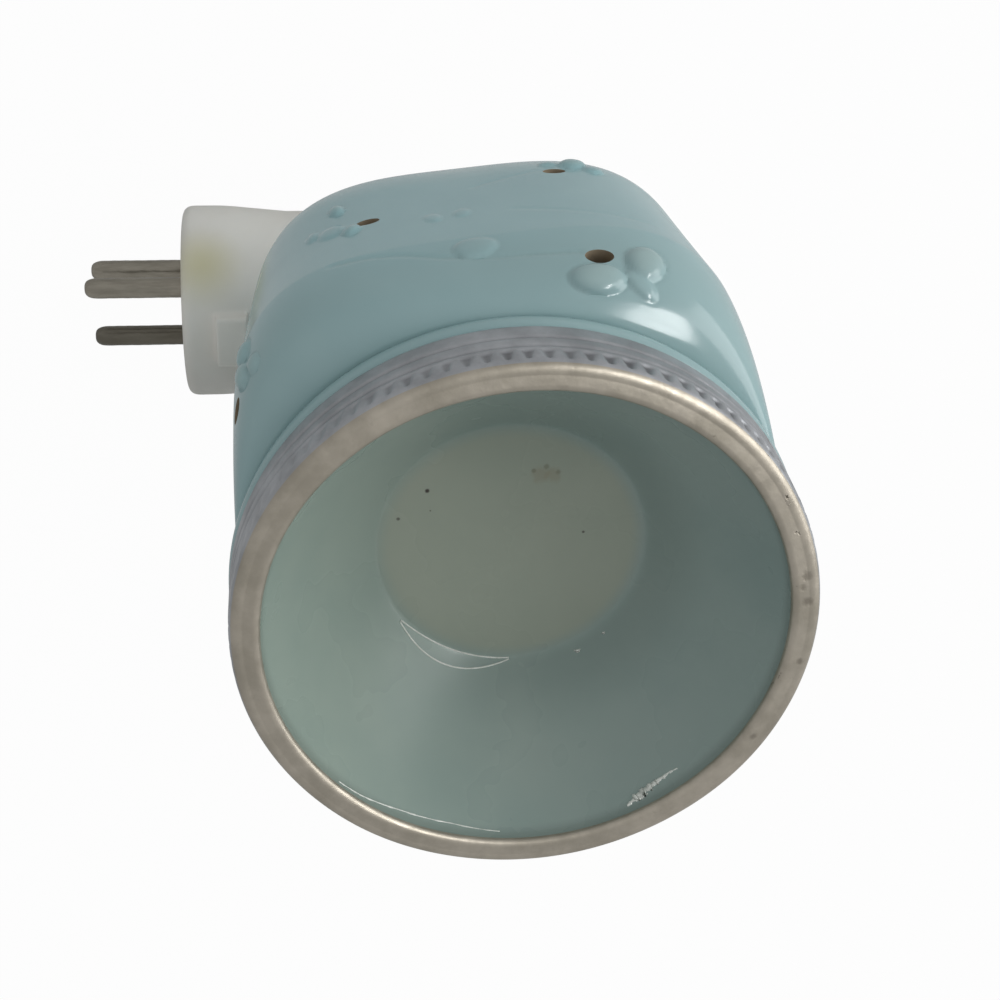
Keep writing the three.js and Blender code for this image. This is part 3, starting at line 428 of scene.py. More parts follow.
def rounded(corners, fillet, closed=False, steps=4):
    """A profile whose corners are rounded, its ends on the axis kept."""
    count = len(corners)
    out = []
    for i, corner in enumerate(corners):
        corner = np.array(corner, float)
        if not closed and i in (0, count - 1):
            out.append(corner)
            continue
        before = np.array(corners[i - 1], float) - corner
        after = np.array(corners[(i + 1) % count], float) - corner
        sizes = np.linalg.norm(before), np.linalg.norm(after)
        cut = min(fillet, 0.45 * sizes[0], 0.45 * sizes[1])
        out += bend(corner + before / sizes[0] * cut, corner, corner + after / sizes[1] * cut, steps)
    return out


def bend(start, corner, end, steps):
    """Points on a smooth curve from start to end, pulled towards the corner."""
    start, corner, end = (np.array(p, float) for p in (start, corner, end))
    shares = np.linspace(0, 1, steps + 1)
    return [(1 - t) ** 2 * start + 2 * t * (1 - t) * corner + t**2 * end for t in shares]


def on_jar_axis(points):
    return points + [0, AXIS_Y, 0]


def as_jar_stands(points):
    """Points of the jar's own shape, turned and set down where it stands."""
    return on_jar_axis(points @ JAR_TURN.T + [0, 0, JAR_BOTTOM])


def along_plug(points, x=0.0, z=0.0):
    return np.stack([points[:, 0] + x, points[:, 2], z - points[:, 1]], -1)


def along_side(points, sign):
    turned = np.stack([points[:, 2], points[:, 0], points[:, 1]], -1) * [sign, sign, 1]
    return turned + [0, AXIS_Y, NECK_SCREW_HEIGHT]


def swivelled(x, z):
    """A place on the plug's face at the photograph's swivel angle."""
    across, down = math.cos(SWIVEL_REST), math.sin(SWIVEL_REST)
    return x * across - z * down, x * down + z * across


def prism(outline, low, high):
    """A closed prism on a level outline that runs anticlockwise."""
    count = len(outline)
    points = [(x, y, low) for x, y in outline] + [(x, y, high) for x, y in outline]
    faces = [tuple(reversed(range(count))), tuple(range(count, 2 * count))]
    for j in range(count):
        k = (j + 1) % count
        faces.append((j, k, count + k, count + j))
    return np.array(points, float), faces


def sweep(path, radius, sides=10):
    """A closed tube along a path of points."""
    path = np.asarray(path, float)
    reach = np.broadcast_to(radius, len(path))
    tangent = np.gradient(path, axis=0)
    tangent /= np.linalg.norm(tangent, axis=1)[:, None]
    side = np.cross(tangent[0], [0.31, 0.52, 0.79])
    points = []
    for place, ahead, width in zip(path, tangent, reach):
        side = side - ahead * (side @ ahead)
        side /= np.linalg.norm(side)
        up = np.cross(ahead, side)
        for j in range(sides):
            angle = 2 * math.pi * j / sides
            points.append(place + width * (side * math.cos(angle) + up * math.sin(angle)))
    faces = grid_faces(len(path), sides, False)
    faces.append(tuple(reversed(range(sides))))
    faces.append(tuple(range(len(points) - sides, len(points))))
    return np.array(points), faces


def bake_modifiers(obj):
    graph = bpy.context.evaluated_depsgraph_get()
    mesh = bpy.data.meshes.new_from_object(obj.evaluated_get(graph))
    old = obj.data
    obj.modifiers.clear()
    obj.data = mesh
    bpy.data.meshes.remove(old)


def carve(obj, cutters, operation="DIFFERENCE"):
    for cutter in cutters:
        change = obj.modifiers.new("carve", "BOOLEAN")
        change.operation = operation
        change.solver = "EXACT"
        change.object = cutter
    bake_modifiers(obj)
    for cutter in cutters:
        bpy.data.objects.remove(cutter)


def crease(obj, degrees):
    obj.data.shade_smooth()
    obj.data.set_sharp_from_angle(angle=math.radians(degrees))


def dress(obj, body, slot, *replaced):
    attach(obj, body)
    if replaced:
        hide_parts(*replaced)
    return obj


# Material helpers
class Wiring:
    """Short ways to add nodes to a node tree."""

    def __init__(self, tree):
        self.tree = tree

    def put(self, socket, value):
        """Links a wire to a socket, or sets the socket's own value."""
        if isinstance(value, bpy.types.NodeSocket):
            self.tree.links.new(value, socket)
        elif socket.type == "RGBA":
            socket.default_value = (*value, 1.0)
        else:
            socket.default_value = value

    def node(self, kind, inputs=(), **settings):
        made = self.tree.nodes.new(kind)
        for key, value in settings.items():
            setattr(made, key, value)
        for key, value in dict(inputs).items():
            self.put(made.inputs[key], value)
        return made

    def math(self, operation, a, b, clamp=False):
        return self.node("ShaderNodeMath", {0: a, 1: b}, operation=operation, use_clamp=clamp).outputs[0]

    def whiten(self, plain, white, output):
        """Mixes a plain surface with white, by how white each kind of ray sees it."""
        rays = self.node("ShaderNodeLightPath").outputs
        share = 0.0
        for ray, whiteness in WHITENESS.items():
            share = self.math("MAXIMUM", share, self.math("MULTIPLY", rays[ray], whiteness))
        blend = self.node("ShaderNodeMixShader", {0: share, 1: plain.outputs[0], 2: white.outputs[0]})
        self.put(self.tree.nodes[output].inputs["Surface"], blend.outputs[0])


class Shader(Wiring):
    """A material with one principled shader."""

    def __init__(self, name):
        self.material = bpy.data.materials.new(name)
        self.material.use_nodes = True
        super().__init__(self.material.node_tree)
        self.surface = self.tree.nodes["Principled BSDF"]
        self.place = self.node("ShaderNodeTexCoord").outputs["Object"]

    def set(self, **values):
        for key, value in values.items():
            self.feed(value, key.replace("_", " "))

    def feed(self, source, name):
        self.put(self.surface.inputs[name], source)

    def noise(self, scale, detail=4.0, rough=0.55, stretch=None):
        vector = self.place
        if stretch:
            vector = self.node("ShaderNodeMapping", {"Vector": vector, "Scale": stretch}).outputs[0]
        inputs = {"Vector": vector, "Scale": scale, "Detail": detail, "Roughness": rough}
        return self.node("ShaderNodeTexNoise", inputs).outputs["Fac"]

    def spread(self, value, low, high, to_low=0.0, to_high=1.0):
        inputs = {"Value": value, "From Min": low, "From Max": high, "To Min": to_low, "To Max": to_high}
        return self.node("ShaderNodeMapRange", inputs, interpolation_type="SMOOTHSTEP").outputs["Result"]

    def mix(self, share, a, b):
        made = self.node("ShaderNodeMix", data_type="RGBA")
        for socket, value in zip([s for s in made.inputs if s.enabled], (share, a, b)):
            self.put(socket, value)
        return [s for s in made.outputs if s.enabled][0]

    def vector_math(self, operation, *inputs):
        return self.node("ShaderNodeVectorMath", enumerate(inputs), operation=operation).outputs

    def distance(self, point):
        return self.vector_math("DISTANCE", self.place, [c * MM for c in point])["Value"]

    def axis_distance(self):
        """Distance from the jar's upright axis."""
        flat = self.vector_math("MULTIPLY_ADD", self.place, (1, 1, 0), (0, -AXIS_Y * MM, 0))
        return self.vector_math("LENGTH", flat[0])["Value"]

    def along(self, axis, low, high, to_low=0.0, to_high=1.0):
        """A share that changes along an axis of the frame."""
        place = self.node("ShaderNodeSeparateXYZ", {0: self.place}).outputs[axis]
        return self.spread(place, low, high, to_low, to_high)

    def painted_shade(self, share):
        """Painted shade: a darker share towards -X, the side away from the lights."""
        return self.along("X", -0.014, 0.006, share, 0.0)

    def spot(self, place, size, grain, low, high, share):
        """A mark with a ragged edge."""
        size *= MM
        ragged = self.math("MULTIPLY", self.noise(grain, 3), size * 0.9)
        reach = self.math("ADD", self.distance(place), ragged)
        return self.spread(reach, size * low, size * high, share, 0.0)

    def relief(self):
        return self.node("ShaderNodeAttribute", attribute_name="relief").outputs["Fac"]

    def bump(self, height, strength, distance, under=None):
        inputs = {"Height": height, "Strength": strength, "Distance": distance}
        if under:
            inputs["Normal"] = under
        return self.node("ShaderNodeBump", inputs).outputs[0]

    def glaze_skin(self, gloss_scale, gloss_low, gloss_high, ripple_scale, grain_scale):
        """Uneven gloss over slow ripples and a fine grain."""
        self.feed(self.spread(self.noise(gloss_scale, 3), 0.1, 0.9, gloss_low, gloss_high), "Roughness")
        ripple = self.bump(self.noise(ripple_scale, 2), 0.06, 0.002)
        self.feed(self.bump(self.noise(grain_scale, 2), 0.03, 0.0003, ripple), "Normal")


# Materials
def celadon_glaze():
    s = Shader("celadon_glaze")
    cloud = s.spread(s.noise(26, 3), 0.3, 0.7)
    shoulder = s.mix(cloud, (0.29, 0.435, 0.448), (0.33, 0.475, 0.482))
    wall = s.mix(cloud, (0.28, 0.465, 0.49), (0.32, 0.505, 0.525))
    body = s.mix(s.along("Z", 0.085, 0.1), wall, shoulder)
    relief = s.relief()
    pooled = s.mix(s.spread(relief, -0.0003, -0.00003, 0.6, 0.0), body, (0.16, 0.265, 0.26))
    thin = s.mix(s.spread(relief, 0.0003, 0.0013, 0.0, 0.5), pooled, (0.40, 0.52, 0.505))
    s.feed(thin, "Base Color")
    s.glaze_skin(60, 0.13, 0.24, 55, 1100)
    s.set(IOR=1.5, Specular_IOR_Level=0.3, Coat_Weight=0.1, Coat_Roughness=0.05)
    return s.material


def bowl_glaze():
    s = Shader("bowl_glaze")
    reach = s.axis_distance()
    cloud = s.spread(s.noise(34, 4), 0.3, 0.7)
    # The -Y wall's cooler blue-grey is a painted shade tint.
    across = s.spread(s.distance((0, AXIS_Y + 45, 108)), 0.02, 0.09)
    wall = s.mix(cloud, (0.275, 0.35, 0.31), (0.32, 0.39, 0.34))
    shaded_wall_tint = s.mix(cloud, (0.27, 0.35, 0.335), (0.31, 0.385, 0.365))
    floor = s.mix(cloud, (0.325, 0.37, 0.305), (0.36, 0.40, 0.33))
    glaze = s.mix(s.spread(reach, 0.0185, 0.0215), floor, s.mix(across, wall, shaded_wall_tint))
    # Painted shade: a darker ring round the floor's edge on the -Y side.
    foot = s.math("MULTIPLY", s.spread(reach, 0.0205, 0.0225), s.spread(reach, 0.0235, 0.031, 0.3, 0.0))
    glaze = s.mix(s.math("MULTIPLY", foot, across), glaze, (0.13, 0.165, 0.145))
    colour = s.mix(s.spread(reach, 0.0377, 0.0384, 0.0, 0.25), glaze, (0.09, 0.10, 0.085))
    for place, size, share, tint in BOWL_MARKS:
        colour = s.mix(s.spot(place, size, 700, 0.75, 1.35, share), colour, tint)
    s.feed(colour, "Base Color")
    s.glaze_skin(50, 0.22, 0.34, 45, 900)
    s.set(IOR=1.45, Specular_IOR_Level=0.3)
    return s.material


def silver_paint(name, pale, dark, rough_low, rough_high, chips, shine):
    s = Shader(name)
    streak = s.noise(160, 6, 0.6)
    paint = s.mix(s.spread(streak, 0.3, 0.72), dark, pale)
    # Darker in the dents and grooves.
    darker_in_dents = s.mix(s.spread(s.relief(), -0.0005, -0.00005, 0.6, 0.0), paint, (0.07, 0.07, 0.075))
    worn = s.spread(s.noise(chips, 5, 0.65), 0.655, 0.70)
    side = s.spread(s.distance((12, AXIS_Y - 38, RIM_TOP)), 0.012, 0.034, 1.0, 0.0)
    speck = s.math("MULTIPLY", worn, s.math("ADD", side, 0.08, True))
    for place, size in RIM_MARKS:
        speck = s.math("MAXIMUM", speck, s.spot(place, size, 900, 0.6, 1.4, 0.5))
    s.feed(s.mix(speck, darker_in_dents, (0.10, 0.085, 0.065)), "Base Color")
    s.feed(s.spread(s.noise(420, 4), 0.3, 0.7, rough_low, rough_high), "Roughness")
    grain = s.bump(s.noise(1500, 3), 0.10, 0.0003)
    s.feed(s.bump(s.math("SUBTRACT", 1.0, speck), 0.4, 0.0002, grain), "Normal")
    s.set(Metallic=shine)
    return s.material


def moulded_plastic(name, pale, shade, stain, stain_place, stain_size):
    s = Shader(name)
    cloud = s.spread(s.noise(40, 4), 0.3, 0.7)
    # Painted shade: the plastic turns a darker grey-beige towards -X.
    base = s.mix(s.painted_shade(0.5), s.mix(cloud, shade, pale), (0.36, 0.35, 0.31))
    spot = s.spread(s.distance(stain_place), 0.0, stain_size * MM, 0.85, 0.0)
    s.feed(s.mix(spot, base, stain), "Base Color")
    s.feed(s.spread(s.noise(300, 4), 0.3, 0.7, 0.34, 0.5), "Roughness")
    s.feed(s.bump(s.noise(1600, 2), 0.05, 0.0002), "Normal")
    s.set(Subsurface_Weight=0.12, Subsurface_Radius=(0.004, 0.0035, 0.003), Subsurface_Scale=0.5)
    return s.material


def bare_metal(name, pale, dark, low, high, stretch=(1, 1, 1), shade_share=0.0):
    s = Shader(name)
    streak = s.noise(300, 5, 0.6, stretch=stretch)
    clean = s.mix(s.spread(streak, 0.3, 0.7), dark, pale)
    # Painted shade: the metal darkens towards -X by the given share.
    s.feed(s.mix(s.painted_shade(shade_share), clean, (0.06, 0.055, 0.04)), "Base Color")
    s.feed(s.spread(s.noise(500, 4, stretch=stretch), 0.3, 0.7, low, high), "Roughness")
    s.feed(s.bump(s.noise(1400, 3, stretch=stretch), 0.06, 0.0002), "Normal")
    s.set(Metallic=0.95)
    return s.material


def matt_stuff(name, pale, dark, scale, low, high, bump=0.15):
    s = Shader(name)
    grain = s.noise(scale, 5)
    s.feed(s.mix(s.spread(grain, 0.3, 0.7), dark, pale), "Base Color")
    s.feed(s.spread(s.noise(scale * 1.7, 4), 0.3, 0.7, low, high), "Roughness")
    s.feed(s.bump(grain, bump, 0.0003), "Normal")
    return s.material


def clear_glass():
    s = Shader("lamp_glass")
    s.feed(s.spread(s.noise(90, 3), 0.3, 0.7, 0.0, 0.03), "Roughness")
    s.feed(s.mix(s.noise(30, 2), (0.93, 0.95, 0.95), (0.98, 0.98, 0.98)), "Base Color")
    s.set(Transmission_Weight=1.0, IOR=1.46)
    return s.material


CELADON = celadon_glaze()
BOWL = bowl_glaze()
BAND = silver_paint("silver_band", (0.43, 0.445, 0.465), (0.31, 0.32, 0.335), 0.36, 0.5, 330, 0.7)
RIM = silver_paint("silver_rim", (0.44, 0.40, 0.335), (0.33, 0.30, 0.245), 0.38, 0.5, 260, 0.65)
PLASTIC = moulded_plastic("white_plastic", (0.80, 0.795, 0.745), (0.72, 0.71, 0.655),
                          (0.62, 0.59, 0.37), (13, -4, 13.4), 10)
CARRIER = moulded_plastic("carrier_plastic", (0.66, 0.64, 0.55), (0.58, 0.56, 0.47),
                          (0.50, 0.46, 0.30), (0, 0, 0), 9)
# The pins are painted darker towards -X, as shade.
PIN_METAL = bare_metal("pin_metal", (0.33, 0.305, 0.255), (0.25, 0.23, 0.19), 0.28, 0.4, (3, 0.5, 3), 0.75)
STEEL = bare_metal("plated_steel", (0.70, 0.70, 0.70), (0.52, 0.52, 0.53), 0.22, 0.4)
BRASS = bare_metal("contact_brass", (0.72, 0.55, 0.28), (0.52, 0.38, 0.18), 0.25, 0.45)
TUNGSTEN = bare_metal("filament_metal", (0.50, 0.49, 0.48), (0.30, 0.29, 0.28), 0.3, 0.5)
RUBBER = matt_stuff("rubber_seal", (0.045, 0.045, 0.043), (0.025, 0.025, 0.024), 700, 0.6, 0.8)
FIBRE = matt_stuff("fibre", (0.36, 0.24, 0.14), (0.22, 0.14, 0.08), 900, 0.7, 0.9, 0.4)
RESIN = matt_stuff("dark_insulator", (0.035, 0.03, 0.028), (0.02, 0.018, 0.017), 500, 0.3, 0.45, 0.05)
GLASS = clear_glass()
# Pale wax colour, also used for the painted highlights in the bowl.
WAX_AND_HIGHLIGHT_WHITE = matt_stuff("dried_wax_and_painted_highlight", (0.84, 0.86, 0.81), (0.66, 0.69, 0.64), 900, 0.25, 0.4, 0.05)
BISQUE = matt_stuff("bisque", (0.23, 0.18, 0.115), (0.17, 0.13, 0.08), 300, 0.75, 0.9, 0.1)
RED_SLEEVE = matt_stuff("red_insulation", (0.30, 0.05, 0.035), (0.22, 0.035, 0.025), 600, 0.45, 0.6)
BLUE_SLEEVE = matt_stuff("blue_insulation", (0.04, 0.10, 0.26), (0.025, 0.07, 0.20), 600, 0.45, 0.6)


# Jar shape: level outlines as rows of height, half width, half depth and squareness
def wall_outline(height, inset):
    scale = JAR_BOTTOM_SCALE + (1 - JAR_BOTTOM_SCALE) * height / SHOULDER_START
    return height, JAR_HALF_WIDTH * scale - inset, JAR_HALF_DEPTH * scale - inset, JAR_SQUARENESS


def circle_outline(radius, height):
    return height, radius, radius, 2.0


def blend_outline(round_one, square_one, share, height):
    mixed = [a + (b - a) * share for a, b in zip(round_one[1:], square_one[1:])]
    return (height, *mixed)


def bottom_outline(angle, inset, floor):
    height = floor + (JAR_ROUND_HEIGHT - floor) * (1 - math.cos(angle))
    pad = circle_outline(JAR_PAD_RADIUS, 0)
    return blend_outline(pad, wall_outline(height, inset), math.sin(angle), height)


def shoulder_outline(angle, inset, neck):
    height = SHOULDER_START + SHOULDER_HEIGHT * math.sin(angle)
    wall = wall_outline(SHOULDER_START, inset)
    return blend_outline(circle_outline(neck, 0), wall, math.cos(angle), height)


def outer_outline(height):
    if height < JAR_ROUND_HEIGHT:
        return bottom_outline(math.acos(1 - height / JAR_ROUND_HEIGHT), 0, 0)
    if height < SHOULDER_START:
        return wall_outline(height, 0)
    share = min(1.0, (height - SHOULDER_START) / SHOULDER_HEIGHT)
    return shoulder_outline(math.asin(share), 0, NECK_RADIUS)


def outline_radius(outline, angle):
    _, width, depth, power = outline
    across = np.abs(np.cos(angle)) / width
    along = np.abs(np.sin(angle)) / depth
    return (across**power + along**power) ** (-1 / power)


def ring_points(outlines, sides):
    angle = 2 * np.pi * np.arange(sides) / sides
    rings = []
    for outline in outlines:
        radius = outline_radius(outline, angle)
        rings.append(polar(radius, angle, np.full(sides, outline[0])))
    return np.array(rings)


def skin_point(turn, height):
    angle = math.radians(turn)
    radius = outline_radius(outer_outline(height), angle)
    return np.array([radius * math.cos(angle), radius * math.sin(angle), height])


def skin_frame(turn, height):
    """A place on the jar's skin with the directions along it, up it and out of it."""
    step = 0.05
    place = skin_point(turn, height)
    along = skin_point(turn + step, height) - skin_point(turn - step, height)
    along /= np.linalg.norm(along)
    up = skin_point(turn, height + step) - skin_point(turn, height - step)
    out = np.cross(along, up)
    out /= np.linalg.norm(out)
    return place, along, np.cross(out, along), out


def local_places(points, turn, height):
    """Points seen from a place on the skin: along, up and out."""
    place, along, up, out = skin_frame(turn, height)
    away = points - place
    return away @ along, away @ up, away @ out


def pebble(points, turn, height, half_length, half_width, spin, rise):
    """A raised petal with a soft edge and a fine moat of pooled glaze."""
    along, up, out = local_places(points, turn, height)
    angle = math.radians(spin)
    u = (along * math.cos(angle) + up * math.sin(angle)) / half_length
    v = (up * math.cos(angle) - along * math.sin(angle)) / half_width
    reach = np.where(np.abs(out) < RELIEF_REACH, np.sqrt(u**2 + v**2), RELIEF_REACH)
    dome = rise * np.clip(1 - reach**DOME_FULLNESS, 0, 1) ** DOME_EDGE
    moat = -MOAT_DEPTH * rise * np.exp(-(((reach - MOAT_PLACE) / MOAT_WIDTH) ** 2))
    return dome + moat


def groove(points, depth, path):
    """Depth of a thin line cut along a path of places on the skin."""
    corners = np.array([skin_point(turn, height) for turn, height in path])
    fine = np.linspace(0, len(corners) - 1, BRANCH_STEPS * len(corners))
    smooth = np.stack([np.interp(fine, range(len(corners)), corners[:, k]) for k in range(3)], -1)
    nearest = np.full(len(points), RELIEF_REACH)
    above_low = points > smooth.min(0) - BRANCH_MARGIN
    below_high = points < smooth.max(0) + BRANCH_MARGIN
    close = np.all(above_low & below_high, axis=1)
    gaps = [np.linalg.norm(points[close] - spot, axis=1) for spot in smooth]
    nearest[close] = np.min(gaps, axis=0)
    return -depth * np.exp(-((nearest / BRANCH_WIDTH) ** 2))


def jar_relief(points):
    """Height of the carving over the plain skin."""
    cut = np.zeros(len(points))
    for depth, path in BRANCHES:
        cut = np.minimum(cut, groove(points, depth, path))
    raised = np.zeros(len(points))
    sunk = cut
    shapes = list(PETALS)
    shapes += [(*leaf, LEAF_RISE) for leaf in LEAVES]
    for turn, height, spin in FLOWERS:
        size = outline_radius(outer_outline(height), math.radians(turn))
        shapes.append((turn, height, *FLOWER_EYE))
        for i in range(FLOWER_PETALS):
            angle = math.radians(spin) + 2 * math.pi * i / FLOWER_PETALS
            aside = math.degrees(FLOWER_RADIUS * math.cos(angle) / size)
            above = FLOWER_RADIUS * math.sin(angle)
            shapes.append((turn + aside, height + above, *FLOWER_PETAL, math.degrees(angle), FLOWER_RISE))
    for shape in shapes:
        lift = pebble(points, *shape)
        raised = np.maximum(raised, lift)
        sunk = np.where(lift > 0, np.maximum(sunk, 0), np.minimum(sunk, lift))
    return np.where(raised > 0, raised, sunk)


def skin_flats(points):
    """Depth of the soft flats that the hand-finished skin has."""
    depth = np.zeros(len(points))
    for turn, height, half_length, half_width, sink in FLATS:
        along, up, out = local_places(points, turn, height)
        near = (along / half_length) ** 2 + (up / half_width) ** 2
        depth = depth + np.where(np.abs(out) < RELIEF_REACH, sink * np.exp(-near), 0.0)
    return depth


def quarter_turns(steps):
    return np.linspace(0, math.pi / 2, steps + 1)


def jar_shell():
    bead = np.linspace(-math.pi / 2, math.pi / 2, BEAD_STEPS)
    bead_rise = BEAD_RADIUS - NECK_RADIUS
    middle = NECK_BASE + BEAD_HEIGHT / 2
    bottom_steps, wall_steps, shoulder_steps = OUTSIDE_STEPS
    top = NECK_BASE + BEAD_HEIGHT
    outside = [circle_outline(r, 0) for r in np.linspace(JAR_HOLE, JAR_PAD_RADIUS, 4)[:-1]]
    outside += [bottom_outline(a, 0, 0) for a in quarter_turns(bottom_steps)]
    wall_heights = np.linspace(JAR_ROUND_HEIGHT, SHOULDER_START, wall_steps)[1:-1]
    outside += [wall_outline(h, 0) for h in wall_heights]
    outside += [shoulder_outline(a, 0, NECK_RADIUS) for a in quarter_turns(shoulder_steps)]
    carved = len(outside)
    for a in bead[1:]:
        height = middle + BEAD_HEIGHT / 2 * math.sin(a)
        outside.append(circle_outline(NECK_RADIUS + bead_rise * math.cos(a), height))
    bottom_steps, wall_steps, shoulder_steps = LINING_STEPS
    inside = [circle_outline(NECK_BORE + 0.8, top), circle_outline(NECK_BORE + 0.2, top - 0.2)]
    inside += [circle_outline(NECK_BORE, top - 0.8)]
    inside += [shoulder_outline(a, JAR_WALL, NECK_BORE) for a in quarter_turns(shoulder_steps)[::-1]]
    wall_heights = np.linspace(SHOULDER_START, JAR_ROUND_HEIGHT, wall_steps)[1:-1]
    inside += [wall_outline(h, JAR_WALL) for h in wall_heights]
    inside += [bottom_outline(a, JAR_WALL, JAR_WALL) for a in quarter_turns(bottom_steps)[::-1]]
    inside += [circle_outline(JAR_HOLE, JAR_WALL)]
    skin = ring_points(outside, JAR_SIDES)
    lining = ring_points(inside, JAR_INNER_SIDES)

    along = np.roll(skin, -1, axis=1) - np.roll(skin, 1, axis=1)
    up = np.gradient(skin, axis=0)
    normal = np.cross(along, up)
    normal /= np.linalg.norm(normal, axis=2)[:, :, None]
    relief = np.zeros(skin.shape[:2])
    relief[:carved] = jar_relief(skin[:carved].reshape(-1, 3)).reshape(carved, JAR_SIDES)
    turn = np.arctan2(skin[:, :, 1], skin[:, :, 0])
    height = skin[:, :, 2]
    below_neck = NECK_BASE - height
    fade = np.clip(height / SLIP_FADE_BOTTOM, 0, 1) * np.clip(below_neck / SLIP_FADE_NECK, 0, 1)
    wave = SLIP_WAVE * (np.sin(3 * turn + height / 17) + np.sin(5 * turn - height / 11 + 1.0)) * fade
    flats = skin_flats(skin.reshape(-1, 3)).reshape(height.shape)
    flats = flats * np.clip(below_neck / FLAT_FADE_NECK, 0, 1)
    skin = skin + normal * (relief + wave - flats - 2 * SLIP_WAVE * fade)[:, :, None]

    count = skin.shape[0] * JAR_SIDES
    points = np.vstack([skin.reshape(-1, 3), lining.reshape(-1, 3)])
    faces = grid_faces(skin.shape[0], JAR_SIDES, False)
    faces += grid_faces(lining.shape[0], JAR_INNER_SIDES, False, count)
    ratio = JAR_SIDES // JAR_INNER_SIDES
    lining_faces = (lining.shape[0] - 1) * JAR_INNER_SIDES
    faces += stitch(count - JAR_SIDES, count, JAR_INNER_SIDES, ratio, True)
    faces += stitch(0, count + lining_faces, JAR_INNER_SIDES, ratio, False)
    slots = np.zeros(len(faces), int)
    lining_start = (skin.shape[0] - 1) * JAR_SIDES
    slots[lining_start:lining_start + lining_faces] = 1
    jar = new_object("jar_shell", as_jar_stands(points), faces, [CELADON, BISQUE], slots)
    carve(jar, [light_drill(i, *place) for i, place in enumerate(LIGHT_HOLES)])
    crease(jar, 42)
    store_relief(jar, jar_height_over_skin)
    dress(jar, "lamp", "celadon_glaze", "jar_body")


def stitch(fine_first, coarse_first, coarse_sides, ratio, fine_below):
    """Faces from a ring of many points to a ring of few."""
    faces = []
    for j in range(coarse_sides):
        k = (j + 1) % coarse_sides
        fine = [fine_first + (j * ratio + i) % (coarse_sides * ratio) for i in range(ratio + 1)]
        if fine_below:
            faces.append((*fine, coarse_first + k, coarse_first + j))
        else:
            faces.append((coarse_first + j, coarse_first + k, *reversed(fine)))
    return faces


def light_drill(index, turn, height, radius):
    place, along, up, out = skin_frame(turn, height)
    profile = [(0, -DRILL_DEPTH), (radius, -DRILL_DEPTH)]
    profile += [(radius + wider, level) for wider, level in HOLE_LIP]
    profile += [(profile[-1][0], DRILL_REACH), (0, DRILL_REACH)]
    points, faces = revolve(profile, 40)
    aside = HOLE_STRETCH[0] * points[:, :1] * along
    above = HOLE_STRETCH[1] * points[:, 1:2] * up
    placed = as_jar_stands(place + aside + above + points[:, 2:] * out)
    return new_object(f"drill_{index}", placed, faces, [CELADON, BISQUE], [1] * len(faces))


def jar_height_over_skin(points):
    """Relief at points of the finished jar, found again on its outer skin."""
    return jar_relief((points - [0, AXIS_Y, JAR_BOTTOM]) @ JAR_TURN)


def store_relief(obj, measure):
    """Keeps the relief on the mesh, in metres, for the glaze."""
    count = len(obj.data.vertices)
    flat = np.zeros(count * 3, np.float32)
    obj.data.vertices.foreach_get("co", flat)
    values = measure(flat.reshape(-1, 3).astype(float) / MM) * MM
    layer = obj.data.attributes.new("relief", "FLOAT", "POINT")
    layer.data.foreach_set("value", values.astype(np.float32))


# Wax dish
def dish_relief(radius, height, angle):
    """Grooves and a row of dents in the lid band."""
    drop = RIM_TOP - height
    outside = radius > RIM_RADIUS - BAND_SKIN
    cut = np.zeros_like(radius)
    for groove_drop in GROOVE_DROPS:
        cut = cut - GROOVE_DEPTH * np.exp(-(((drop - groove_drop) / GROOVE_WIDTH) ** 2))
    share = np.clip((drop - DENT_BOTTOM_DROP) / (DENT_TOP_DROP - DENT_BOTTOM_DROP), -0.2, 1.2)
    phase = np.mod(angle * DENT_COUNT / (2 * np.pi), 1) - 0.5
    half_width = DENT_HALF_TIP + DENT_FLARE * np.clip(share, 0, 1)
    across = np.clip(1 - (np.abs(phase) / half_width) ** 2, 0, 1)
    window = np.clip(share / 0.25, 0, 1) * np.clip((1.15 - share) / 0.22, 0, 1)
    from_worn = np.mod(angle - WORN_DENTS_TURN + np.pi, 2 * np.pi) - np.pi
    worn = (1 - WORN_DENTS_LEFT) * np.exp(-((from_worn / WORN_DENTS_WIDTH) ** 2))
    left = np.clip(1 - worn + 0.03 * np.sin(17 * angle), WORN_DENTS_LEFT, 1)
    cut = cut - DENT_DEPTH * across * window * left**3
    return np.where(outside, cut, 0.0)


def dish_shape(radius, height, angle):
    wobble = 0.10 * np.sin(4 * angle + 0.5) + 0.06 * np.sin(9 * angle)
    rim = np.clip((height - (RIM_TOP - 3)) / 3, 0, 1)
    return radius + dish_relief(radius, height, angle) - 0.08 * rim * (1 + wobble / 0.16), height


def dish_profile():
    """The band from its underside up, and then the rim to its inner edge."""
    top = RIM_TOP
    inner = RIM_RADIUS - RIM_WIDTH
    band_bottom = top - BAND_HEIGHT
    band = [(DISH_SEAT_RADIUS, band_bottom), (BAND_RADIUS - 0.5, band_bottom)]
    band += [(BAND_RADIUS - 0.1, band_bottom + 0.15)]
    band += [(BAND_RADIUS, h) for h in np.linspace(band_bottom + 0.5, top - 2.4, 50)]
    crest = (RIM_RADIUS - 1.2, top - 0.27)
    dip = (RIM_RADIUS - 1.9, top - 0.24)
    crown = (inner + 1.1, top - 0.02)
    edge = bend((RIM_RADIUS, top - 2.2), (RIM_RADIUS, top - 0.5), crest, 12)
    painted = 7
    roll = edge[painted:]
    roll += bend(crest, (RIM_RADIUS - 1.5, top - 0.21), dip, 6)[1:]
    roll += bend(dip, (RIM_RADIUS - 2.5, top - 0.12), crown, 10)[1:]
    roll += bend(crown, (inner + 0.08, top - 0.05), (inner, top - 1.0), 10)[1:]
    return band + edge[:painted], roll


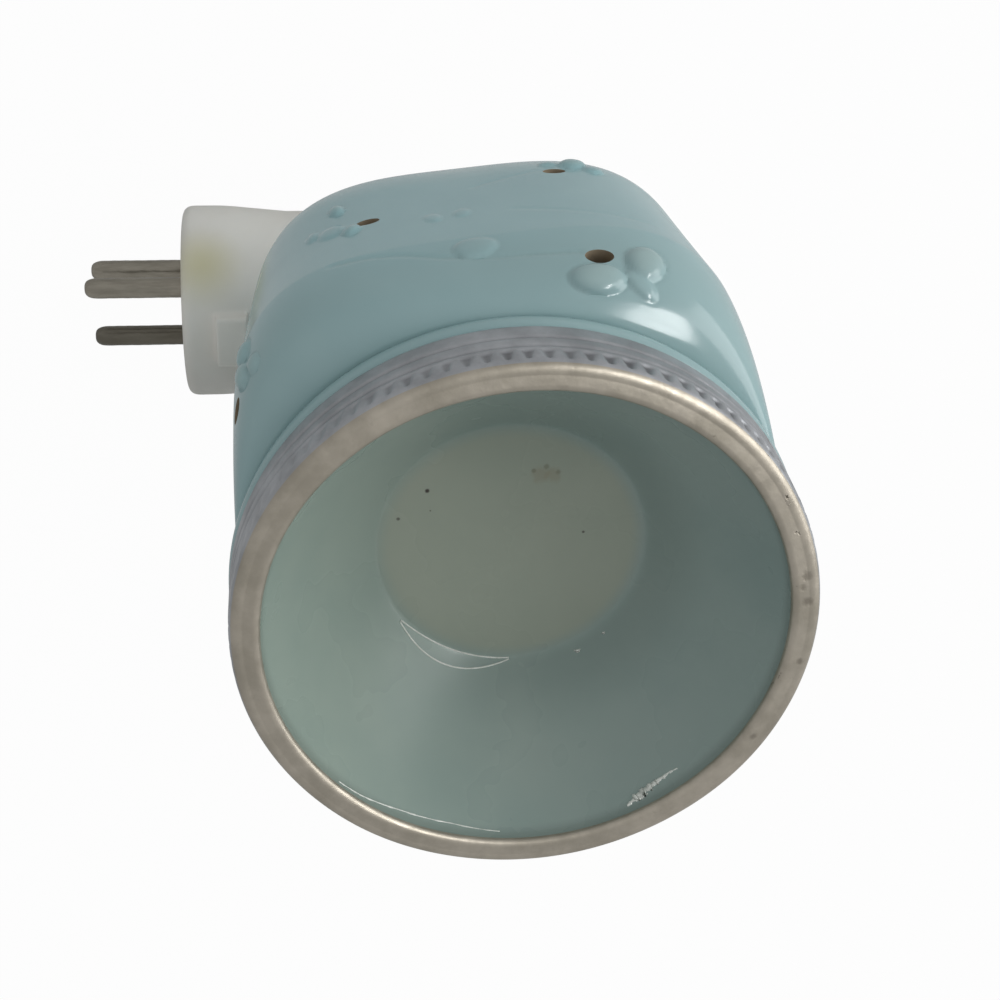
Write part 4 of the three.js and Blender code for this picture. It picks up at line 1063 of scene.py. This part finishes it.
def bowl_profile():
    """The bowl from the rim's inner edge down to its floor, with a soft edge round the floor."""
    inner = RIM_RADIUS - RIM_WIDTH
    floor = RIM_TOP - DISH_DEPTH
    foot = (DISH_FLOOR_RADIUS, floor)
    wall = bend((inner - 0.06, RIM_TOP - 1.7), (inner - BOWL_LEAN, floor + BOWL_SWELL), foot, 44)[:-1]
    edge = bend(wall[-1], foot, (DISH_FLOOR_RADIUS - 0.4, floor), 8)[1:]
    return wall + edge + [(r, floor) for r in np.linspace(DISH_FLOOR_RADIUS - 1.8, 1, 16)]


def wax_dish():
    band, roll = dish_profile()
    floor = RIM_TOP - DISH_DEPTH
    bowl = bowl_profile()
    under = [(r, DISH_UNDERSIDE) for r in np.linspace(1, DISH_FLOOR_RADIUS, 10)]
    foot = (DISH_FLOOR_RADIUS, DISH_UNDERSIDE)
    swell = (DISH_SEAT_RADIUS - BOWL_LEAN, DISH_UNDERSIDE + UNDER_SWELL)
    under += bend(foot, swell, (DISH_SEAT_RADIUS, RIM_TOP - DISH_SEAT_DROP - 0.3), 16)[1:]
    fine_points = turn_profile(band + roll, DISH_SIDES, dish_shape)
    bowl_points = turn_profile(bowl, BOWL_SIDES)
    under_points = turn_profile(under, BOWL_SIDES)
    bowl_first = len(fine_points)
    under_first = bowl_first + len(bowl_points)
    points = np.vstack([fine_points, bowl_points, under_points, [0, 0, floor], [0, 0, DISH_UNDERSIDE]])
    faces = grid_faces(len(band) + len(roll), DISH_SIDES, False)
    silver_faces = len(faces)
    faces += grid_faces(len(bowl), BOWL_SIDES, False, bowl_first)
    faces += grid_faces(len(under), BOWL_SIDES, False, under_first)
    ratio = DISH_SIDES // BOWL_SIDES
    faces += stitch(bowl_first - DISH_SIDES, bowl_first, BOWL_SIDES, ratio, True)
    faces += stitch(0, len(points) - 2 - BOWL_SIDES, BOWL_SIDES, ratio, False)
    for j in range(BOWL_SIDES):
        k = (j + 1) % BOWL_SIDES
        faces.append((len(points) - 2, under_first - BOWL_SIDES + j, under_first - BOWL_SIDES + k))
        faces.append((len(points) - 1, under_first + k, under_first + j))
    slots = np.zeros(len(faces), int)
    band_faces = (len(band) - 1) * DISH_SIDES
    slots[:band_faces] = 2
    slots[band_faces:silver_faces] = 1
    dish = new_object("dish_shell", on_jar_axis(points), faces, [BOWL, RIM, BAND], slots)
    store_relief(dish, dish_height_over_skin)
    dress(dish, "dish", "silver_glaze", "wax_dish")


def dish_height_over_skin(points):
    away = points - [0, AXIS_Y, 0]
    outside = np.hypot(away[:, 0], away[:, 1]) > RIM_RADIUS - BAND_SKIN
    return dish_relief(RIM_RADIUS * outside, away[:, 2], np.arctan2(away[:, 1], away[:, 0]))


def wall_stroke(profile, turns, heights, widths):
    """A low ragged pale line along the bowl's wall, for wax and for painted highlights, through places
    given by turn and height.
    """
    share = np.linspace(0, 1, 60)
    knots = np.linspace(0, 1, len(turns))
    angle = np.radians(np.interp(share, knots, turns))
    ragged = 1 + 0.3 * np.sin(47 * share) + 0.2 * np.sin(101 * share + 1)
    width = np.interp(share, knots, widths) * ragged
    height = np.interp(share, knots, heights)
    radius = np.interp(height, profile[:, 1], profile[:, 0]) + 0.6 * width
    return sweep(polar(radius, angle, height), width, 8)


def wax_and_painted_highlights():
    """Pale raised lines in a wax colour: a painted highlight crescent beside the bowl's floor, and strokes
    on the wall, some of wax and some painted highlights.
    """
    profile = np.array(bowl_profile())[::-1]
    start, end = np.radians(PAINTED_CRESCENT_TURNS)
    share = np.linspace(0, 1, 70)
    angle = start + (end - start) * share
    shapes = []
    for reach, bulge in PAINTED_CRESCENT_LINES:
        radius = reach + bulge * np.sin(math.pi * share) + 0.4 * (1 - share) ** 6
        height = np.interp(radius, profile[:, 0], profile[:, 1]) + 0.04
        shapes.append(sweep(polar(radius, angle, height), PAINTED_CRESCENT_WIDTH, 8))
    points, faces = join(shapes + [wall_stroke(profile, *stroke) for stroke in WAX_AND_HIGHLIGHT_STROKES])
    dress(new_object("wax_and_painted_highlights", on_jar_axis(points), faces, [WAX_AND_HIGHLIGHT_WHITE]), "dish", "silver_glaze")


# Plug elbow
def elbow_shell():
    rear = [(WAIST_RADIUS, -WAIST_FROM_FACE), (DRUM_RADIUS, -DRUM_STRAIGHT), (DRUM_RADIUS, 0), (0, 0)]
    front = [(0, DRUM_FRONT), (WAIST_RADIUS - 0.3, DRUM_FRONT), (WAIST_RADIUS, DRUM_FRONT + 0.3)]
    drum = front + rounded(rear, DRUM_EDGE, steps=8)
    elbow = turned("elbow_shell", drum, ROUND_SIDES, along_plug, PLASTIC)
    neck = rounded(cylinder(NECK_BOSS_RADIUS, 0, NECK_TOP), 0.6)
    boss = turned("boss", neck, ROUND_SIDES, on_jar_axis, PLASTIC)
    crest = DRUM_RADIUS + SPINE_RISE
    sides = [(-SPINE_HALF_WIDTH, DRUM_RADIUS / 2), (SPINE_HALF_WIDTH, DRUM_RADIUS / 2)]
    sides += [(SPINE_HALF_WIDTH, crest), (-SPINE_HALF_WIDTH, crest)]
    outline = rounded(sides, 1.0, True, 3)
    points, faces = prism(outline, SPINE_FROM_FACE, SPINE_FROM_FACE + SPINE_LENGTH)
    placed = np.stack([points[:, 0], -points[:, 2], points[:, 1]], -1)
    spine = new_object("spine", placed, faces, [PLASTIC])
    carve(elbow, [boss, spine], "UNION")
    bore = [(0, DRUM_FRONT - 1), (DRUM_BORE, DRUM_FRONT - 1), (DRUM_BORE, -REAR_WALL)]
    bore += [(CARRIER_HOLE, -REAR_WALL), (CARRIER_HOLE, 1), (0, 1)]
    hollow = turned("hollow", bore, 121, along_plug, PLASTIC)
    throat = turned("throat", cylinder(JAR_HOLE, -4, NECK_TOP + 1), 99, on_jar_axis, PLASTIC)
    carve(elbow, [hollow, throat])
    soften(elbow, ELBOW_CELL, ELBOW_ROUNDS)
    dress(elbow, "lamp", "white_plastic", "elbow_housing")


def soften(obj, cell, rounds):
    """Moulded look: an even mesh with every edge and inner corner slightly rounded."""
    even = obj.modifiers.new("even", "REMESH")
    even.mode = "VOXEL"
    even.voxel_size = cell * MM
    calm = obj.modifiers.new("calm", "SMOOTH")
    calm.factor = 0.5
    calm.iterations = rounds
    bake_modifiers(obj)
    obj.data.shade_smooth()


def cross_cutter(size, depth):
    """A cross-shaped tool for screw heads, pointing along Z."""
    arm = size * 0.2
    corner = [(arm, -size), (arm, -arm), (size, -arm)]
    outline = []
    for _ in range(4):
        outline += corner
        corner = [(-y, x) for x, y in corner]
    points, faces = prism(outline, -depth, 2.0)
    points[:, :2] *= np.where(points[:, 2:] < 0, 0.55, 1.0)
    return points, faces


def screw(name, node, place, length):
    """A pan-head screw with a cross recess and a rolled thread, its head below zero."""
    radius, height, shank = SCREW_HEAD_RADIUS, SCREW_HEAD_HEIGHT, SCREW_SHANK_RADIUS
    head = [(0, -height), *bend((radius * 0.55, -height), (radius, -height), (radius, -height * 0.3), 6)]
    head += [(radius, 0), (shank, 0)]
    stem = [(shank, h) for h in np.linspace(0.15, length - 1.5, 90)]
    tip = [(shank * 0.4, length - 0.3), (0, length)]

    def thread(radius, height, angle):
        cut = (height > 0.6) & (height < length - 1.4)
        return radius - np.where(cut, SCREW_THREAD * helix(height, angle, SCREW_PITCH), 0.0), height

    made = turned(name, head + stem + tip, 48, place, STEEL, thread)
    points, faces = cross_cutter(radius * 0.55, RECESS_DEPTH)
    points = points * [1, 1, -1] - [0, 0, height]
    recess = new_object(name + "_recess", place(points), [tuple(reversed(f)) for f in faces], [STEEL])
    carve(made, [recess])
    crease(made, 35)
    dress(made, "lamp", "plated_steel", node)


def front_cover():
    front, back = cap_low[1], cap_high[1]
    joint = front + CAP_THICKNESS
    spigot = DRUM_BORE - SPIGOT_GAP
    inside = DRUM_BORE - SPIGOT_INSET
    profile = [(0, front), (WAIST_RADIUS, front), (WAIST_RADIUS, joint), (spigot, joint)]
    profile += [(spigot, back), (inside, back), (inside, joint), (0, joint)]
    cover = turned("front_cover", rounded(profile, 0.8, steps=5), ROUND_SIDES, along_plug, PLASTIC)
    hole = cylinder(SCREW_HOLE_RADIUS, front - 2, joint + 2)
    drills = []
    for x in (-SCREW_X, SCREW_X):
        drills.append(turned("cover_drill", hole, 32, lambda p: along_plug(p, x, SCREW_Z), PLASTIC))
    carve(cover, drills)
    crease(cover, 40)
    dress(cover, "lamp", "white_plastic", "front_cap")
    for letter, x in (("a", -SCREW_X), ("b", SCREW_X)):
        def in_cap(points):
            return along_plug(points + [0, 0, front - SCREW_LIFT], x, SCREW_Z)

        screw(f"cover_screw_{letter}", f"cap_screw_{letter}", in_cap, CAP_SCREW_LENGTH)


def neck_screws():
    for letter, sign in (("a", 1), ("b", -1)):
        def in_neck(points):
            return along_side(points * [1, -1, -1] + [0, 0, NECK_BOSS_RADIUS + SCREW_LIFT], sign)

        screw(f"collar_screw_{letter}", f"neck_screw_{letter}", in_neck, NECK_SCREW_LENGTH)


# Swivel plug
def plug_plate():
    profile = rounded([(0, CARRIER_FLANGE_FRONT), (CARRIER_FLANGE_RADIUS, CARRIER_FLANGE_FRONT),
                       (CARRIER_FLANGE_RADIUS, CARRIER_FLANGE_REAR), (CARRIER_RADIUS, CARRIER_FLANGE_REAR),
                       (CARRIER_RADIUS, 0), (0, 0)], 0.35)
    plate = turned("plug_plate", profile, ROUND_SIDES, along_plug, CARRIER)
    hole = PIN_RADIUS + PIN_GAP
    mouth = PIN_RADIUS + PIN_MOUTH
    drill = [(0, -8), (hole, -8), (hole, -0.5), (mouth, 0.15), (mouth, 2), (0, 2)]
    drills = []
    for x, z in pin_places().values():
        drills.append(turned("pin_drill", rounded(drill, 0.1), 40, lambda p: along_plug(p, x, z), CARRIER))
    carve(plate, drills)
    crease(plate, 38)
    dress(plate, "plug", "carrier_plastic", "pin_carrier")


def pin_places():
    return {name: swivelled(*place) for name, place in PINS.items()}


def plug_pins():
    foot = CARRIER_FLANGE_FRONT
    tip = bend((PIN_RADIUS, PIN_LENGTH - 2.6), (PIN_RADIUS, PIN_LENGTH), (0.5, PIN_LENGTH), 10)
    shaft = [(PIN_RADIUS, h) for h in np.linspace(foot, PIN_LENGTH - 3, 60)]

    def worn(radius, height, angle):
        mark = 0.02 * np.sin(7 * angle + height) * np.sin(height * 1.7)
        return np.where(radius > 0.6, radius - 0.03 + mark, radius), height

    profile = [(0, foot), *shaft, *tip, (0, PIN_LENGTH)]
    for name, (x, z) in pin_places().items():
        pin = turned(name, profile, 64, lambda p: along_plug(p, x, z), PIN_METAL, worn)
        crease(pin, 45)
        dress(pin, "plug", "pin_metal", "pin_" + name.split("_")[0])


# Lamp and lampholder inside the jar
def turned_piece(name, node, profile, material, slot, sides=96, reshape=None):
    made = turned(name, profile, sides, on_jar_axis, material, reshape)
    crease(made, 40)
    dress(made, "lamp", slot, node)


def heights(node):
    low, high = node_box(node)
    return low[2], high[2]


def tube(node, inner, outer, fillet):
    """The rounded section of a ring as high as a node."""
    low, high = heights(node)
    return rounded([(inner, low), (outer, low), (outer, high), (inner, high)], fillet, True)


def clamp_pieces():
    def lobes(radius, height, angle):
        outer = np.clip((radius - 16) / 4, 0, 1)
        return radius - outer * 0.4 * (1 - np.cos(8 * angle)), height

    seal = tube("jar_gasket", JAR_HOLE, CLAMP_RADIUS, 0.5)
    turned_piece("seal_ring", "jar_gasket", seal, RUBBER, "rubber_seal")
    washer = tube("nut_washer", JAR_HOLE, CLAMP_RADIUS, 0.15)
    turned_piece("fibre_washer", "nut_washer", washer, FIBRE, "fibre")
    nut = tube("ring_nut", JAR_HOLE, CLAMP_RADIUS, 0.6)
    turned_piece("lobed_nut", "ring_nut", nut, RESIN, "dark_insulator", 192, lobes)


def lampholder_pieces():
    low, high = heights("lampholder_body")

    def thread(radius, height, angle):
        cut = (radius > COLLAR_RADIUS - 0.4) & (height > COLLAR_THREAD_START + 0.5)
        return radius - np.where(cut, COLLAR_THREAD * helix(height, angle, COLLAR_PITCH), 0.0), height

    profile = [(0, low), (HOLDER_FOOT_RADIUS, low), (HOLDER_FOOT_RADIUS, COLLAR_FOOT)]
    profile += [(COLLAR_RADIUS, COLLAR_FOOT)]
    profile += [(COLLAR_RADIUS, h) for h in np.linspace(COLLAR_THREAD_START, high - 1, 60)]
    profile += [(COLLAR_RADIUS - 1, high), (SOCKET_RADIUS, high), (SOCKET_RADIUS, SOCKET_FLOOR)]
    profile += [(0, SOCKET_FLOOR)]
    turned_piece("lamp_socket", "lampholder_body", profile, RESIN, "dark_insulator", ROUND_SIDES, thread)
    shell = tube("screw_shell", *SHELL_RADII, 0.15)
    turned_piece("socket_shell", "screw_shell", shell, BRASS, "contact_brass")


def lamp_pieces():
    low, high = heights("bulb_cap")

    def rolled(radius, height, angle):
        share = np.clip((height - low - 2) / 2, 0, 1) * np.clip((high - 3 - height) / 2, 0, 1)
        return radius - share * LAMP_CAP_THREAD * helix(height, angle, LAMP_CAP_PITCH), height

    cap = [(LAMP_CAP_RADII[1], h) for h in np.linspace(low, high, 110)]
    cap += [(LAMP_CAP_RADII[0], h) for h in np.linspace(high, low, 24)]
    turned_piece("lamp_cap", "bulb_cap", cap, STEEL, "plated_steel", 96, rolled)
    bottom, top = heights("bulb_glass")
    glass = envelope_profile(bottom, top, 0.0) + envelope_profile(bottom, top, GLASS_WALL)[::-1]
    turned_piece("lamp_envelope", "bulb_glass", glass, GLASS, "lamp_glass")
    foot, peak = heights("bulb_stem")
    stem = [(0, foot), (4.6, foot), (4.6, foot + 2), (2.2, foot + 4.5), (1.6, foot + 9)]
    stem += [(1.6, peak - 1.2), (2.1, peak - 0.6), (1.2, peak), (0, peak)]
    turned_piece("lamp_stem", "bulb_stem", rounded(stem, 0.4), GLASS, "lamp_glass", 64)
    lamp_coil(peak)


def envelope_profile(bottom, top, inset):
    neck = GLASS_NECK - inset
    belly = GLASS_BELLY - inset
    cap_top = bottom + 8
    profile = [(neck, h) for h in np.linspace(bottom, cap_top + 1, 5)]
    profile += bend((neck, cap_top + 2), (belly, cap_top + 3), (belly, cap_top + 14), 16)
    for share in np.linspace(0.03, 0.998, 22):
        angle = share * math.pi / 2
        profile.append((belly * math.cos(angle), top - GLASS_BELLY + belly * math.sin(angle)))
    return profile


def lamp_coil(foot):
    """A coiled filament on two support wires."""
    top = foot + 9.5
    share = np.linspace(0, 1, 420)
    wind = 2 * math.pi * COIL_TURNS * share
    arch = COIL_SPAN * np.cos(math.pi * (1 - share))
    level = top + 1.1 * np.sin(math.pi * share) + COIL_RADIUS * np.sin(wind)
    shapes = [sweep(np.stack([arch, COIL_RADIUS * np.cos(wind), level], -1), 0.12, 6)]
    for side in (-COIL_SPAN, COIL_SPAN):
        wire = bend((side * 0.18, 0, foot + 0.4), (side, 0, foot + 2), (side, 0, top), 14)
        shapes.append(sweep(wire, 0.22, 8))
    points, faces = join(shapes)
    coil = new_object("lamp_coil", on_jar_axis(points), faces, [TUNGSTEN])
    dress(coil, "lamp", "filament_metal", "bulb_filament")


# Finishes of the solids that stay as they are
def finish_inner_solids():
    finishes = {
        "centre_contact": BRASS, "side_contact": BRASS, "bulb_insulator": RESIN, "bulb_tip": STEEL,
        "track_line": BRASS, "track_neutral": BRASS, "wave_washer": STEEL, "brush_board": FIBRE,
        "brush_line": BRASS, "brush_neutral": BRASS, "retaining_ring": STEEL,
        "lead_line": RED_SLEEVE, "lead_neutral": BLUE_SLEEVE,
    }
    for name, material in finishes.items():
        nodes[name].data.materials.clear()
        nodes[name].data.materials.append(material)


# Stage, light and camera
def make_floor():
    outline = [(-1, -1), (1, -1), (1, 1), (-1, 1)]
    level = cad_low.z / MM
    points, faces = prism(np.array(outline) * FLOOR_HALF_SIZE, level - FLOOR_DEPTH, level - FLOOR_GAP)
    s = Shader("pale_floor")
    s.feed(s.mix(s.noise(3, 2), (0.56, 0.56, 0.56), (0.60, 0.60, 0.60)), "Base Color")
    s.set(Roughness=0.9)
    white = s.node("ShaderNodeEmission", {"Color": (1, 1, 1)})
    s.whiten(s.surface, white, "Material Output")
    floor = new_object("floor", points, faces, [s.material])
    floor.data.shade_flat()


def make_sky():
    world = bpy.data.worlds.new("studio")
    world.use_nodes = True
    wiring = Wiring(world.node_tree)
    sky = world.node_tree.nodes["Background"]
    wiring.put(sky.inputs["Color"], SKY_COLOUR)
    wiring.put(sky.inputs["Strength"], SKY_STRENGTH)
    backdrop = wiring.node("ShaderNodeBackground", {"Color": (1, 1, 1)})
    wiring.whiten(sky, backdrop, "World Output")
    bpy.context.scene.world = world


def area_light(name, towards, distance, size, power, mirrored, lights, roll):
    """A soft light that looks at the jar's middle. It shows as a reflection, lights, or both."""
    target = Vector((0, AXIS_Y, JAR_BOTTOM + LIT_HEIGHT)) * MM
    back = Vector(towards).normalized()
    data = bpy.data.lights.new(name, "AREA")
    data.shape = "RECTANGLE"
    data.size, data.size_y = size
    data.energy = power
    lamp = bpy.data.objects.new(name, data)
    lamp.location = target + back * distance
    lamp.rotation_mode = "QUATERNION"
    rolled = Quaternion((0, 0, 1), math.radians(roll))
    lamp.rotation_quaternion = (-back).to_track_quat("-Z", "Y") @ rolled
    lamp.visible_glossy = mirrored
    lamp.visible_diffuse = lights
    if not lights:
        data.cycles.max_bounces = 0
    bpy.context.scene.collection.objects.link(lamp)


def make_camera():
    data = bpy.data.cameras.new("camera")
    data.sensor_width = SENSOR
    data.lens = FOCAL_PIXELS * SENSOR / PHOTO_PIXELS
    camera = bpy.data.objects.new("camera", data)
    forward = CAMERA_RIGHT.cross(CAMERA_DOWN).normalized()
    down = forward.cross(CAMERA_RIGHT).normalized()
    right = down.cross(forward)
    turn = Matrix((right, -down, -forward)).transposed()
    camera.matrix_world = Matrix.Translation(CAMERA_PLACE) @ turn.to_4x4()
    bpy.context.scene.collection.objects.link(camera)
    bpy.context.scene.camera = camera


make_camera()
jar_shell()
wax_dish()
wax_and_painted_highlights()
elbow_shell()
front_cover()
neck_screws()
plug_plate()
plug_pins()
clamp_pieces()
lampholder_pieces()
lamp_pieces()
finish_inner_solids()
make_floor()
make_sky()
for light_name, light in LIGHTS.items():
    area_light(light_name, *light)
bpy.context.scene.view_settings.view_transform = "Standard"
